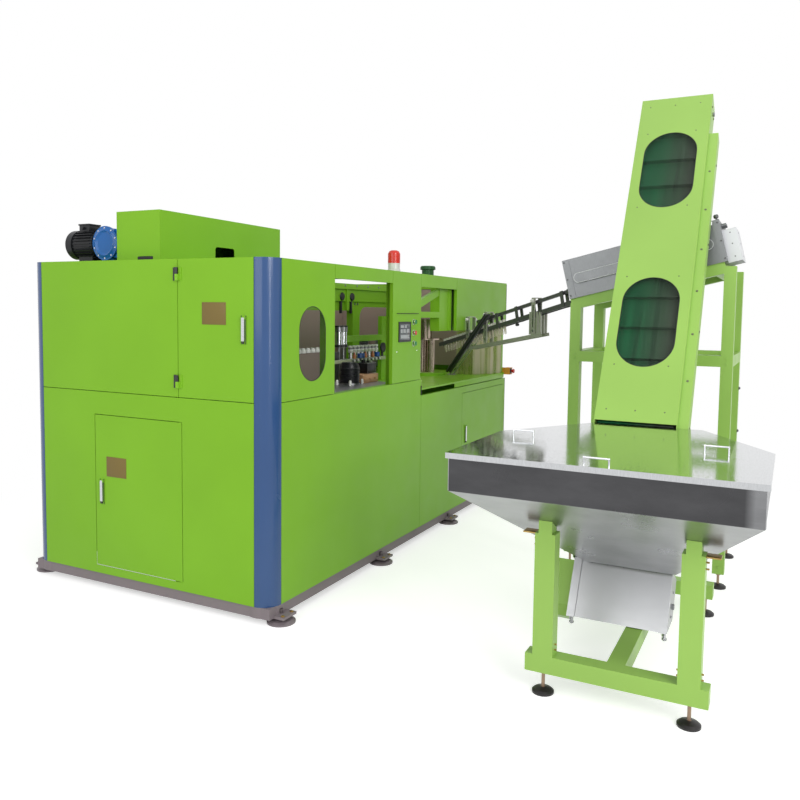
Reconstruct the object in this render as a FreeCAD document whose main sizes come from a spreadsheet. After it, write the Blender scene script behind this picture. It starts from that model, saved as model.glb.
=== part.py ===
"""Blow moulding machine with its preform feeder, as a parametric document in millimetres.

Frame: the origin is the middle of the sole of the corner foot, at the door end on the operator's side.
+X runs along the machine to its infeed end, +Y to the rear, +Z up. The operator's side panels lie at Y = 0.
"""
import FreeCAD, Part
import math
import os
import sys
import Sketcher

DOC = FreeCAD.newDocument("blow_moulding_machine")

# ---------------------------------------------------------------------------------------------
# Driving dimensions, in millimetres and degrees
# ---------------------------------------------------------------------------------------------
SIZES = {
    # cabinet
    "cab_length": 3744,
    "cab_width": 1853,
    "cab_bottom": 99,
    "cab_top": 2000,
    "seam_z": 1219,
    "post_radius": 104,
    "post_wall": 4,
    "sheet": 2,
    "fold_depth": 25,
    "seam_gap": 4,
    "tube": 50,
    "base_tube": 62,
    "foot_inset": 105,
    "foot_pitch": 1160,
    "foot_radius": 80,
    "foot_stud_r": 12,
    "stud_rise": 24,
    "lug": 60,
    "lug_thick": 14,
    # doors at the end
    "upper_door_hinge_y": 635,
    "lower_door_y_near": 614,
    "lower_door_y_far": 1298,
    "lower_door_z_low": 152,
    "lower_door_z_high": 1076,
    "hinge_length": 74,
    "hinge_width": 30,
    "hinge_pin_r": 4,
    "pin_clearance": 0.05,
    "pivot_inset": 8,
    "latch_pivot": 12,
    "handle_length": 150,
    "handle_width": 30,
    "upper_handle_y": 170,
    "upper_handle_z": 1612,
    "lower_handle_y": 1243,
    "lower_handle_z": 611,
    # front
    "window_panel_end": 648,
    "window_left": 271,
    "window_width": 276,
    "window_low": 1314,
    "window_height": 431,
    "pane_thick": 5,
    "opening_high": 1915,
    "opening_right": 1396,
    "control_right": 1848,
    "side_opening_left": 1871,
    "side_opening_right": 2290,
    "side_opening_top": 1905,
    "right_panel_left": 2524,
    "right_panel_low": 1570,
    "ledge_z": 1138,
    "ledge_plate": 12,
    "ledge_depth": 1000,
    "slot_low": 1097,
    "side_handle_inset": 75,
    "side_handle_z": 690,
    "side_door_width": 1010,
    "side_door_margin": 54,
    "side_door_low": 160,
    "side_door_high": 1040,
    # operator controls
    "face_plate_left": 1450,
    "face_plate_right": 1795,
    "face_plate_low": 1425,
    "face_plate_high": 1705,
    "screen_left": 1485,
    "screen_width": 189,
    "screen_low": 1507,
    "screen_height": 142,
    "screen_proud": 6,
    "button_x": 1726,
    "button_top_z": 1647,
    "button_pitch": 78,
    "button_r": 11,
    "button_collar_r": 16,
    "stop_box": 66,
    "stop_box_z": 1164,
    "stop_button_r": 20,
    # roof, top box and blower
    "roof_length": 1400,
    "roof_sheet": 3,
    "duct_start": 100,
    "duct_length": 1182,
    "duct_y": 860,
    "duct_width": 344,
    "duct_height": 298,
    "port_x": 680,
    "port_width": 190,
    "port_height": 120,
    "blower_x": 200,
    "blower_y": 1415,
    "blower_z": 2125,
    "blower_r": 106,
    "blower_depth": 160,
    "motor_y": 1529,
    "motor_r": 98,
    "motor_length": 241,
    "fin_count": 28,
    "beacon_x": 1493,
    "beacon_y": 45,
    "beacon_r": 42,
    "beacon_height": 145,
    "cap_x": 2600,
    "cap_y": 300,
    "cap_r": 50,
    "hanger_right": 2470,
    "hanger_depth": 80,
    "hanger_bar_z": 1676,
    # table, portal and blowing unit
    "table_z": 1190,
    "table_plate": 20,
    "table_left": 200,
    "table_right": 1820,
    "table_front": 80,
    "table_rear_gap": 83,
    "drive_motor_x": 1500,
    "drive_motor_y": 400,
    "drive_motor_r": 68,
    "drive_motor_height": 158,
    "portal_y": 880,
    "portal_plate": 60,
    "portal_left": 1300,
    "portal_end_gap": 344,
    "portal_flange": 45,
    "portal_flange_out": 40,
    "beam_drop": 145,
    "beam_out": 18,
    "arch_left_top": 1723,
    "arch_right_top": 1756,
    "portal_column": 150,
    "portal_middle": 2351,
    "portal_middle_width": 115,
    "arch_radius": 100,
    "rail_y": 560,
    "rail_z": 1325,
    "rail_left": 1300,
    "rail_right": 2375,
    "rail_width": 40,
    "rail_height": 28,
    "valve_count": 8,
    "valve_start": 1810,
    "valve_pitch": 58,
    "rail_plate_left": 2350,
    "rail_plate_width": 92,
    "rail_plate_thick": 34,
    "rail_plate_top": 1680,
    "rail_beam_left": 1780,
    "rail_beam_low": 1482,
    "rail_beam_height": 46,
    "clamp_x": 560,
    "clamp_width": 700,
    "clamp_low": 1250,
    "clamp_height": 460,
    "clamp_front": 800,
    "clamp_span": 820,
    "platen": 60,
    "mould_thick": 90,
    "mould_gap": 0.4,
    "cavity_count": 4,
    "cavity_r": 32,
    "tie_bar_r": 25,
    "bar_clearance": 0.08,
    # infeed wheel and oven
    "wheel_end_gap": 664,
    "wheel_y": 540,
    "wheel_shaft_r": 20,
    "wheel_r": 190,
    "wheel_z": 1470,
    "drum_r": 85,
    "pleats": 24,
    "guard_gap": 4,
    "guard_sheet": 6,
    "oven_end_gap": 144,
    "oven_length": 470,
    "oven_y": 1080,
    "oven_depth": 420,
    "oven_low": 1200,
    "oven_height": 260,
    "oven_wall": 10,
    "lamp_r": 6,
    "lamp_rows": 4,
    "lamp_pitch": 50,
    # preform chute
    "chute_x": 2150,
    "chute_slope": 12.9,
    "chute_top_y": -1050,
    "chute_top_z": 1825,
    "chute_length": 1640,
    "chute_gap": 36,
    "chute_start": 82,
    "chute_yaw": 30.4,
    "guide_end": 1080,
    # feeder base
    "feeder_x": 17,
    "feeder_y": -1830,
    "feeder_bar": 80,
    "feeder_bar_low": 104,
    "feeder_half": 392,
    "rear_bar_x": 1350,
    "rear_bar_half": 290,
    "leg_half": 312,
    "leg_top": 742,
    "feeder_foot_half": 315,
    "pad_r": 50,
    "pad_stud_r": 8,
    # hopper
    "hopper_y": -1780,
    "hopper_front": -270,
    "hopper_half": 628,
    "hopper_side_end": 430,
    "hopper_rear": 1000,
    "hopper_rear_half": 270,
    "hopper_low": 945,
    "hopper_high": 1112,
    "hopper_sheet": 3,
    "hopper_mouth_z": 450,
    "hopper_mouth_x": 640,
    "lid_sheet": 3,
    "lid_lip": 22,
    "lid_over": 12,
    "handle_pitch": 100,
    "handle_r": 4,
    "handle_rise": 32,
    # elevator
    "elev_angle": 30,
    "elev_y": -1706,
    "elev_foot_x": 478.5,
    "elev_foot_z": 187,
    "elev_width": 448,
    "elev_depth": 170,
    "elev_length": 3446,
    "elev_cover_start": 1089,
    "elev_wall": 4,
    "tank_clearance": 0.2,
    "pane_width": 328,
    "pane_height": 600,
    "pane_low_gap": 341,
    "pane_high_gap": 301,
    "tail_length": 304,
    "tail_width": 490,
    "tail_shift": 34,
    "cheek": 55,
    "cheek_short": 318,
    "guard_width": 90,
    "belt_thick": 6,
    "roller_r": 36,
    "roller_shaft_r": 14,
    "belt_cleat": 32,
    "cleat_pitch": 206,
    # unscrambler
    "stand_x": 1865,
    "stand_far_x": 2563,
    "stand_left_y": -1155,
    "stand_right_y": -2106,
    "stand_tube": 70,
    "stand_mid_z": 1403,
    "case_slope": 13.8,
    "case_length": 1000,
    "case_height": 262,
    "case_width": 740,
    "case_wall": 4,
    "case_x": 1815,
    "roll_r": 45,
    "roll_z": 52,
    "roll_gap": 28,
    "case_low_y": -1119,
    "case_low_z": 1818,
}

SHEET = DOC.addObject("Spreadsheet::Sheet", "Dims")
for row, (alias, number) in enumerate(SIZES.items(), start=1):
    SHEET.set(f"A{row}", alias)
    SHEET.set(f"B{row}", str(number))
    SHEET.setAlias(f"B{row}", alias)
DOC.recompute()


class Size:
    """A length or angle that knows both its number and the expression that binds it to the sheet."""

    def __init__(self, value, text=None):
        self.value = float(value)
        self.text = text if text is not None else repr(float(value))

    def join(self, other, sign, value):
        other = as_size(other)
        return Size(value(self.value, other.value), f"({self.text} {sign} {other.text})")

    def __add__(self, other):
        return self.join(other, "+", lambda a, b: a + b)

    def __radd__(self, other):
        return as_size(other) + self

    def __sub__(self, other):
        return self.join(other, "-", lambda a, b: a - b)

    def __rsub__(self, other):
        return as_size(other) - self

    def __mul__(self, other):
        return self.join(other, "*", lambda a, b: a * b)

    def __rmul__(self, other):
        return as_size(other) * self

    def __truediv__(self, other):
        return self.join(other, "/", lambda a, b: a / b)

    def __neg__(self):
        return Size(-self.value, f"(0 - {self.text})")


def as_size(number):
    return number if isinstance(number, Size) else Size(number)


def sine(angle):
    return Size(math.sin(math.radians(angle.value)), f"sin({angle.text})")


def cosine(angle):
    return Size(math.cos(math.radians(angle.value)), f"cos({angle.text})")


class Sheet:
    """The sheet's cells by name."""

    def __getattr__(self, alias):
        return Size(SIZES[alias], f"Dims.{alias}")


S = Sheet()
X0 = -S.foot_inset                 # outer face of the door end
X1 = X0 + S.cab_length             # outer face of the infeed end
NODES = {}

# ---------------------------------------------------------------------------------------------
# Ways of making a piece
# ---------------------------------------------------------------------------------------------
AXES = {
    "x": FreeCAD.Rotation(FreeCAD.Vector(0, 1, 0), 90),
    "y": FreeCAD.Rotation(FreeCAD.Vector(1, 0, 0), -90),
    "z": FreeCAD.Rotation(),
}


def bind(item, prop, number):
    """Bind one property of an object to the sheet."""
    item.setExpression(prop, as_size(number).text)


def put(item, x=0, y=0, z=0, turn=None, along="z"):
    """Place an object; turn is an axis vector and an angle from the sheet."""
    rotation = AXES[along]
    if turn:
        axis, angle = turn
        rotation = FreeCAD.Rotation(FreeCAD.Vector(*axis), as_size(angle).value)
    base = FreeCAD.Vector(as_size(x).value, as_size(y).value, as_size(z).value)
    item.Placement = FreeCAD.Placement(base, rotation)
    for name, number in (("x", x), ("y", y), ("z", z)):
        bind(item, f"Placement.Base.{name}", number)
    if turn and isinstance(turn[1], Size):
        bind(item, "Placement.Rotation.Angle", turn[1])
    return item


def block(x, y, z, length, width, height):
    """A box from its low corner and its three sizes."""
    item = DOC.addObject("Part::Box", "block")
    bind(item, "Length", length)
    bind(item, "Width", width)
    bind(item, "Height", height)
    return put(item, x, y, z)


def span(x, y, z):
    """A box from three pairs of low and high coordinates."""
    sides = [as_size(high) - low for low, high in (x, y, z)]
    return block(x[0], y[0], z[0], *sides)


def rod(x, y, z, radius, length, along="z"):
    item = DOC.addObject("Part::Cylinder", "rod")
    bind(item, "Radius", radius)
    bind(item, "Height", length)
    return put(item, x, y, z, along=along)


def fuse(*pieces):
    item = DOC.addObject("Part::MultiFuse", "joined")
    item.Shapes = list(pieces)
    item.Refine = len(pieces) < 12
    return item


def cut(base, *tools):
    item = DOC.addObject("Part::Cut", "cut")
    item.Base = base
    item.Tool = tools[0] if len(tools) == 1 else fuse(*tools)
    item.Refine = True
    return item


def group(*pieces):
    """Separate solids kept in one node."""
    item = DOC.addObject("Part::Compound", "set_of")
    item.Links = list(pieces)
    return item


def node(name, item):
    """Name a finished piece; its file takes this name."""
    item.Label = name
    NODES[name] = item
    return item


def outline(body, plane, points):
    """A closed sketch of straight lines whose corners are bound to the sheet."""
    sketch = body.newObject("Sketcher::SketchObject", "outline")
    origin = [f for f in body.Origin.OriginFeatures if f.Role == plane][0]
    sketch.AttachmentSupport = [(origin, "")]
    sketch.MapMode = "FlatFace"
    corners = [FreeCAD.Vector(as_size(u).value, as_size(v).value, 0) for u, v in points]
    count = len(corners)
    for i in range(count):
        sketch.addGeometry(Part.LineSegment(corners[i], corners[(i + 1) % count]), False)
    for i in range(count):
        sketch.addConstraint(Sketcher.Constraint("Coincident", i, 2, (i + 1) % count, 1))
    for i, (u, v) in enumerate(points):
        for kind, number in (("DistanceX", u), ("DistanceY", v)):
            number = as_size(number)
            index = sketch.addConstraint(Sketcher.Constraint(kind, -1, 1, i, 1, number.value))
            sketch.setExpression(f"Constraints[{index}]", number.text)
    return sketch


def pad(plane, points, depth, x=0, y=0, z=0, turn=None, reverse=False):
    """A flat outline pushed out to a depth: a plate, a profile or a wedge."""
    body = DOC.addObject("PartDesign::Body", "profile")
    sketch = outline(body, plane, points)
    feature = body.newObject("PartDesign::Pad", "pad")
    feature.Profile = sketch
    bind(feature, "Length", depth)
    feature.Reversed = reverse
    put(body, x, y, z, turn)
    return body


def turned(points, x=0, y=0, z=0, along="z", turn=None):
    """A turned piece: (radius, height) corners spun about the piece's own axis."""
    body = DOC.addObject("PartDesign::Body", "turned")
    sketch = outline(body, "XZ_Plane", points)
    feature = body.newObject("PartDesign::Revolution", "turn")
    feature.Profile = sketch
    feature.ReferenceAxis = (sketch, ["V_Axis"])
    feature.Angle = 360
    put(body, x, y, z, turn, along)
    return body


def oval_y(left, low, width, height, y, depth):
    """An upright oval with round ends, pushed along Y: for a window and its opening."""
    radius = width / 2
    return fuse(
        block(left, y, low + radius, width, depth, height - width),
        rod(left + radius, y, low + radius, radius, depth, along="y"),
        rod(left + radius, y, low + height - radius, radius, depth, along="y"),
    )


# ---------------------------------------------------------------------------------------------
# Cabinet: base frame, feet, posts, skeleton and panels
# ---------------------------------------------------------------------------------------------
FOLD = S.fold_depth
HALF = S.seam_gap / 2
REAR = S.cab_width
BASE_LOW = S.cab_bottom - S.base_tube
FOOT_X = [S.foot_pitch * i for i in range(3)] + [X1 - S.foot_inset]


def levelling_foot(x, y, top, radius, stud_r):
    """Disc foot with a domed top and a stud up to the frame."""
    return turned([(0, 0), (radius, 0), (radius, 10), (radius * 0.8, 18), (stud_r * 1.8, 26),
                   (stud_r, 27), (stud_r, top), (0, top)], x, y, 0)


def build_base():
    back = 8                            # the tubes stand this far behind the panels' faces
    lug, tube = S.lug, S.base_tube
    upright = (BASE_LOW, S.cab_bottom)
    bars = [
        span((X0 + back, X1 - back), (back, back + tube), upright),
        span((X0 + back, X1 - back), (REAR - back - tube, REAR - back), upright),
        span((X0 + back, X0 + back + tube), (back, REAR - back), upright),
        span((X1 - back - tube, X1 - back), (back, REAR - back), upright),
    ]
    for x in FOOT_X:
        for y0, y1 in ((-lug, 20), (REAR - 20, REAR + lug)):
            bars.append(span((x - lug, x + lug), (y0, y1), (BASE_LOW, BASE_LOW + S.lug_thick)))
    for x in FOOT_X[1:3]:
        bars.append(span((x - 30, x + 30), (20, REAR - 20), upright))
    for y in (S.post_radius, REAR - S.post_radius):
        bars.append(rod(X0 + S.post_radius, y, BASE_LOW, S.post_radius - 1, S.base_tube))
    frame = fuse(*bars)
    places = [(x, y) for x in FOOT_X for y in (0, REAR)]
    stud, rise = S.foot_stud_r, S.lug_thick + S.stud_rise
    holes = [rod(x, y, BASE_LOW - 1, stud + 1, rise + 3) for x, y in places]
    node("base_frame", cut(frame, *holes))
    feet = [levelling_foot(x, y, BASE_LOW + rise, S.foot_radius, stud) for x, y in places]
    nuts = [turned([(stud, 0), (stud + 9, 0), (stud + 9, 9), (stud, 9)], x, y, BASE_LOW - 9)
            for x, y in places]
    node("machine_feet", group(*[fuse(foot, nut) for foot, nut in zip(feet, nuts)]))


def corner_post(y_centre, sign):
    """Quarter-round cover with a top cap, from the base to the roof."""
    r = S.post_radius
    low, high = S.cab_bottom, S.cab_top
    xc = X0 + r
    shell = cut(rod(xc, y_centre, low, r, high - low),
                rod(xc, y_centre, low - 1, r - S.post_wall, high - low - 3))
    keep_y = (y_centre - r - 1, y_centre) if sign < 0 else (y_centre, y_centre + r + 1)
    corner = span((X0 - 1, xc), keep_y, (low - 1, high + 1))
    post = DOC.addObject("Part::Common", "quarter")
    post.Base = shell
    post.Tool = corner
    return post


def build_posts():
    node("corner_posts", group(corner_post(S.post_radius, -1), corner_post(REAR - S.post_radius, 1)))


def tray_y(x0, x1, z0, z1, y, inward, slack=0):
    """Folded sheet panel facing along Y: outer skin at y, its edges folded inward."""
    t = S.sheet
    skin = (y, y + FOLD - slack) if inward > 0 else (y - FOLD + slack, y)
    hollow = (y + t, y + FOLD + 1) if inward > 0 else (y - FOLD - 1, y - t)
    return cut(span((x0, x1), skin, (z0, z1)), span((x0 + t, x1 - t), hollow, (z0 + t, z1 - t)))


def tray_x(y0, y1, z0, z1, x, inward, slack=0):
    """Folded sheet panel facing along X."""
    t = S.sheet
    skin = (x, x + FOLD - slack) if inward > 0 else (x - FOLD + slack, x)
    hollow = (x + t, x + FOLD + 1) if inward > 0 else (x - FOLD - 1, x - t)
    return cut(span(skin, (y0, y1), (z0, z1)), span(hollow, (y0 + t, y1 - t), (z0 + t, z1 - t)))


R = S.post_radius
Y_NEAR = R + HALF                  # end panels start beside the front post
Y_FAR = REAR - R - HALF
X_NEAR = X0 + R + HALF             # side panels start beside the post
LOW = S.cab_bottom
SEAM_UNDER = S.seam_z - HALF
SEAM_OVER = S.seam_z + HALF
TOP = S.cab_top
LEDGE_LEFT = X0 + S.side_opening_left
SIDE_DOOR = (X1 - S.side_door_margin - S.side_door_width, X1 - S.side_door_margin)


def build_skeleton():
    """Welded tubes behind the panels, which the folded edges bear on."""
    t = S.tube
    near, far = FOLD, REAR - FOLD - S.tube
    left, right = X0 + FOLD, X1 - FOLD - S.tube
    inner = near + t
    high = TOP - 5 - t
    middle = S.seam_z - t - 6
    ledge_under = S.ledge_z - t
    table_end = X0 + S.control_right - 20
    corner = R / 2                      # rails end here, inside the round corner posts
    # operator's side: uprights, rails and the hanger inside the right-hand opening
    uprights = [left + R, X0 + S.window_panel_end - t, X0 + S.opening_right + FOLD + 20,
                table_end - t, right]
    front = [span((x, x + t), (near, inner), (LOW, TOP - 5)) for x in uprights]
    front.append(span((X0 + corner, right + t), (near, inner), (high, high + t)))
    front.append(span((X0 + corner, table_end), (near, inner), (middle, middle + t)))
    post_x, post_end = X0 + S.side_opening_right, X0 + S.hanger_right
    post_y = (near + 25, near + 25 + S.hanger_depth)
    front.append(span((post_x, post_end), post_y, (S.right_panel_low, high)))
    bar_z = (S.hanger_bar_z, S.hanger_bar_z + 46)
    front.append(span((table_end, post_x), (near + 25, inner + 25), bar_z))
    cap_x = X0 + S.cap_x - t / 2
    front.append(span((cap_x, cap_x + t), (inner, S.cap_y + S.cap_r), (high, high + t)))
    front.append(pad("XZ_Plane", [(table_end, S.hanger_bar_z + 40), (table_end, S.hanger_bar_z + 100),
                                  (post_x + 10, S.side_opening_top), (post_x + 10, S.side_opening_top - 52)],
                     30, 0, near + 60, 0))
    node("front_frame", fuse(*front))
    # rear side, both ends and the tubes across
    cross = [span((x, x + t), (far, far + t), (LOW, TOP - 5))
             for x in (left + R, X0 + S.cab_length / 2 - t / 2, right)]
    cross += [span((left, left + t), (y, y + t), (LOW, TOP - 5))
              for y in (R + FOLD, S.upper_door_hinge_y + 6, REAR - R - FOLD - t)]
    for z in (middle, high):
        cross.append(span((X0 + corner, right + t), (far, far + t), (z, z + t)))
        cross.append(span((left, left + t), (inner, REAR - corner), (z, z + t)))
    for z in (ledge_under, high):
        cross.append(span((right, right + t), (inner, far + t), (z, z + t)))
    roof_end = X0 + S.roof_length
    cross.append(span((roof_end - t, roof_end), (inner, far + t), (high, high + t)))
    node("cabinet_frame", fuse(*cross))
    # tubes that carry the table and the infeed ledge
    under = S.table_z - S.table_plate - t
    table_middle = (S.table_left + S.table_right) / 2
    stations = (S.table_left + 100, table_middle - t / 2, S.table_right - 120)
    beds = [span((X0 + a, X0 + a + t), (inner, far), (under, under + t)) for a in stations]
    beds.append(span((table_end - t, table_end), (inner, far), (ledge_under, S.ledge_z)))
    for y in (300, 900, S.oven_y + 40, S.oven_y + S.oven_depth - 100):
        beds.append(span((table_end, right), (y, y + t), (ledge_under, S.ledge_z)))
    node("bed_tubes", group(*beds))


def pivot_bracket(x, y, z, pin_x, pin_y):
    """Small block behind a door's opening, bored for the door's pivot pin."""
    return cut(span(x, y, (z, z + 13)), rod(pin_x, pin_y, z - 1, S.hinge_pin_r + S.pin_clearance, 15))


def build_panels():
    hinge_y = S.upper_door_hinge_y
    upper = tray_x(hinge_y + HALF, Y_FAR, SEAM_OVER, TOP, X0, 1)
    door_gap = S.seam_gap
    y0, y1 = S.lower_door_y_near, S.lower_door_y_far
    z0, z1 = S.lower_door_z_low, S.lower_door_z_high
    lower = tray_x(Y_NEAR, Y_FAR, LOW, SEAM_UNDER, X0, 1)
    hole = span((X0 - 1, X0 + FOLD + 2), (y0 - door_gap, y1 + door_gap), (z0 - door_gap, z1 + door_gap))
    px, py = X0 + S.pivot_inset, y0 + S.pivot_inset
    brackets = [pivot_bracket((X0 + S.sheet, X0 + 22), (py - 10, py + 10), z, px, py)
                for z in (z0 - 14, z1 + 1)]
    node("end_panels", group(upper, fuse(cut(lower, hole), *brackets)))
    # operator's side
    x_window = X0 + S.window_panel_end
    window_panel = tray_y(X_NEAR, x_window - HALF, SEAM_OVER, TOP, 0, 1)
    oval = oval_y(X0 + S.window_left, S.window_low, S.window_width, S.window_height, -1, 20)
    window_panel = cut(window_panel, oval)
    rim = 12
    node("window_pane", oval_y(X0 + S.window_left - rim, S.window_low - rim,
                               S.window_width + 2 * rim, S.window_height + 2 * rim,
                               S.sheet, S.pane_thick))
    x_open = X0 + S.opening_right
    x_ctl = X0 + S.control_right
    header_left = tray_y(x_window + HALF, x_open - HALF, S.opening_high, TOP, 0, 1)
    header_right = tray_y(x_ctl + HALF, X0 + S.right_panel_left - HALF, S.side_opening_top, TOP, 0, 1)
    right_high = tray_y(X0 + S.right_panel_left + HALF, X1 - HALF, S.right_panel_low, TOP, 0, 1)
    node("front_panels_upper", group(window_panel, header_left, header_right, right_high))
    control = tray_y(x_open + HALF, x_ctl, SEAM_OVER, TOP, 0, 1)
    groove = span((X0 + S.face_plate_left, X0 + S.face_plate_right), (-1, 1),
                  (S.face_plate_high, S.face_plate_high + 4))
    screws = [rod(X0 + x, -2, S.face_plate_low + 8, 4, 3, along="y")
              for x in (S.face_plate_left + 18, S.face_plate_right - 18)]
    screen_hole = span((X0 + S.screen_left + 8, X0 + S.screen_left + S.screen_width - 8), (-1, 10),
                       (S.screen_low + 8, S.screen_low + S.screen_height - 8))
    bores = [rod(X0 + S.button_x, -1, S.button_top_z - S.button_pitch * i,
                 S.button_r + S.pin_clearance, 5, along="y") for i in range(3)]
    node("control_panel", fuse(cut(control, groove, screen_hole, *bores), *screws))
    left_low = tray_y(X_NEAR, LEDGE_LEFT - HALF, LOW, SEAM_UNDER, 0, 1)
    right_low = tray_y(LEDGE_LEFT + HALF, X1 - HALF, LOW, S.slot_low, 0, 1)
    dx0, dx1 = SIDE_DOOR
    dz0, dz1 = S.side_door_low, S.side_door_high
    door_hole = span((dx0 - door_gap, dx1 + door_gap), (-1, FOLD + 2), (dz0 - door_gap, dz1 + door_gap))
    px, py = dx1 - S.pivot_inset, S.pivot_inset
    brackets = [pivot_bracket((px - 10, px + 10), (S.sheet, 22), z, px, py) for z in (dz0 - 14, dz1 + 1)]
    node("front_panels_lower", group(left_low, fuse(cut(right_low, door_hole), *brackets)))
    # rear and infeed end
    node("rear_panels", group(tray_y(X_NEAR, X1 - HALF, LOW, SEAM_UNDER, REAR, -1),
                              tray_y(X_NEAR, X1 - HALF, SEAM_OVER, TOP, REAR, -1)))
    node("infeed_end_panel", tray_x(FOLD + 1, REAR - FOLD - 1, LOW, TOP, X1, -1))
    roof_z = (TOP - 5, TOP - 5 + S.roof_sheet)
    node("roof_panel", span((X0 + R, X0 + S.roof_length), (FOLD, REAR - FOLD), roof_z))


# ---------------------------------------------------------------------------------------------
# Doors, hinges and latches
# ---------------------------------------------------------------------------------------------
HINGE_OUT = 11                     # upper hinge axis stands this far out of the door's face
KNUCKLE_R = 9
UPPER_HINGES = (1310, 1915)        # heights of the two hinges' middles


def hinge_half(y_dir, low, high, pin):
    """One half of a block hinge at the upper door: knuckle, web and leaf, with the pin or its bore."""
    x, y = X0 - HINGE_OUT, S.upper_door_hinge_y
    knuckle = rod(x, y, low, KNUCKLE_R, high - low)
    reach = S.hinge_width / 2
    near, far = (y, y + reach) if y_dir > 0 else (y - reach, y)
    web = span((X0 - HINGE_OUT - 3, X0 - 1), (near, far), (low, high))
    tall = high - low
    if y_dir > 0:
        leaf = span((X0 - 4, X0), (y + 11, y + 2 * reach), (low - tall, high))
        inner = span((X0 - HINGE_OUT - 3, X0), (y + 11, y + reach), (low, high))
    else:
        leaf = span((X0 - 4, X0), (y - 2 * reach, y - 11), (low, high + tall))
        inner = span((X0 - HINGE_OUT - 3, X0), (y - reach, y - 11), (low, high))
    half = fuse(knuckle, web, leaf, inner)
    if pin:
        return fuse(half, rod(x, y, low - (high - low), S.hinge_pin_r, high - low + 1))
    return cut(half, rod(x, y, low - 1, S.hinge_pin_r + S.pin_clearance, high - low + 2))


def build_doors():
    hinge_y = S.upper_door_hinge_y
    slack = 0.5
    panel = tray_x(Y_NEAR + 1, hinge_y - HALF, SEAM_OVER, TOP - 1, X0, 1, slack)
    half = S.hinge_length / 2
    lower_halves = [hinge_half(-1, z - half, z - 0.2, False) for z in UPPER_HINGES]
    base = latch_base_x(S.upper_handle_y, S.upper_handle_z)
    node("end_door_upper", fuse(panel, *lower_halves, base))
    node("door_hinges", group(*[hinge_half(1, z + 0.2 - 0.2, z + half, True) for z in UPPER_HINGES]))
    y0, y1 = S.lower_door_y_near, S.lower_door_y_far
    z0, z1 = S.lower_door_z_low, S.lower_door_z_high
    px, py = X0 + S.pivot_inset, y0 + S.pivot_inset
    pins = [rod(px, py, z, S.hinge_pin_r, 13) for z in (z0 - 12, z1 - 1)]
    base = latch_base_x(S.lower_handle_y, S.lower_handle_z)
    node("end_door_lower", fuse(tray_x(y0, y1, z0, z1, X0, 1, slack), *pins, base))
    x0, x1 = SIDE_DOOR
    z0, z1 = S.side_door_low, S.side_door_high
    pins = [rod(x1 - S.pivot_inset, S.pivot_inset, z, S.hinge_pin_r, 13) for z in (z0 - 12, z1 - 1)]
    handle_x = x0 + S.side_handle_inset
    half_w, half_l = S.handle_width / 2, S.handle_length / 2
    handle_top = S.side_handle_z + half_l
    plate = span((handle_x - half_w, handle_x + half_w), (-4, 0), (S.side_handle_z - half_l, handle_top))
    ears = [span((handle_x + a, handle_x + b), (-14, 0), (handle_top - 18, handle_top - 6))
            for a, b in ((-half_w, -half_w + 4), (half_w - 4, half_w))]
    swing_room = 5                      # the fold's inner corner turns clear of the upright behind it
    node("side_door", fuse(tray_y(x0, x1, z0, z1, 0, 1, swing_room), *pins, plate, *ears))
    # levers, each hung from its top end
    for name, y, z in (("latch_lever_upper", S.upper_handle_y, S.upper_handle_z),
                       ("latch_lever_lower", S.lower_handle_y, S.lower_handle_z)):
        pivot_z = z + half_l - S.latch_pivot
        lever = span((X0 - 13, X0 - 5), (y - half_w + 5, y + half_w - 5), (z - half_l + 14, pivot_z))
        eye = rod(X0 - 9, y - half_w + 4.5, pivot_z, 4, S.handle_width - 9, along="y")
        node(name, fuse(lever, eye))
    pivot_z = handle_top - S.latch_pivot
    lever = span((handle_x - half_w + 5, handle_x + half_w - 5), (-13, -5),
                 (S.side_handle_z - half_l + 14, pivot_z))
    eye = rod(handle_x - half_w + 4.5, -9, pivot_z, 4, S.handle_width - 9, along="x")
    node("latch_lever_side", fuse(lever, eye))


def latch_base_x(y, z):
    """Latch plate on an end door, with two ears that hold the lever's pivot."""
    half_w, half_l = S.handle_width / 2, S.handle_length / 2
    plate = span((X0 - 4, X0), (y - half_w, y + half_w), (z - half_l, z + half_l))
    ears = [span((X0 - 14, X0), (y + a, y + b), (z + half_l - 18, z + half_l - 6))
            for a, b in ((-half_w, -half_w + 4), (half_w - 4, half_w))]
    return fuse(plate, *ears)


# ---------------------------------------------------------------------------------------------
# Operator controls
# ---------------------------------------------------------------------------------------------
def push_button(z):
    """Push button: stem through the panel and a collar-sized cap in front."""
    return turned([(0, -22), (S.button_collar_r, -22), (S.button_collar_r, -8), (S.button_r, -8),
                   (S.button_r, 16), (0, 16)], X0 + S.button_x, 0, z, along="y")


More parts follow.
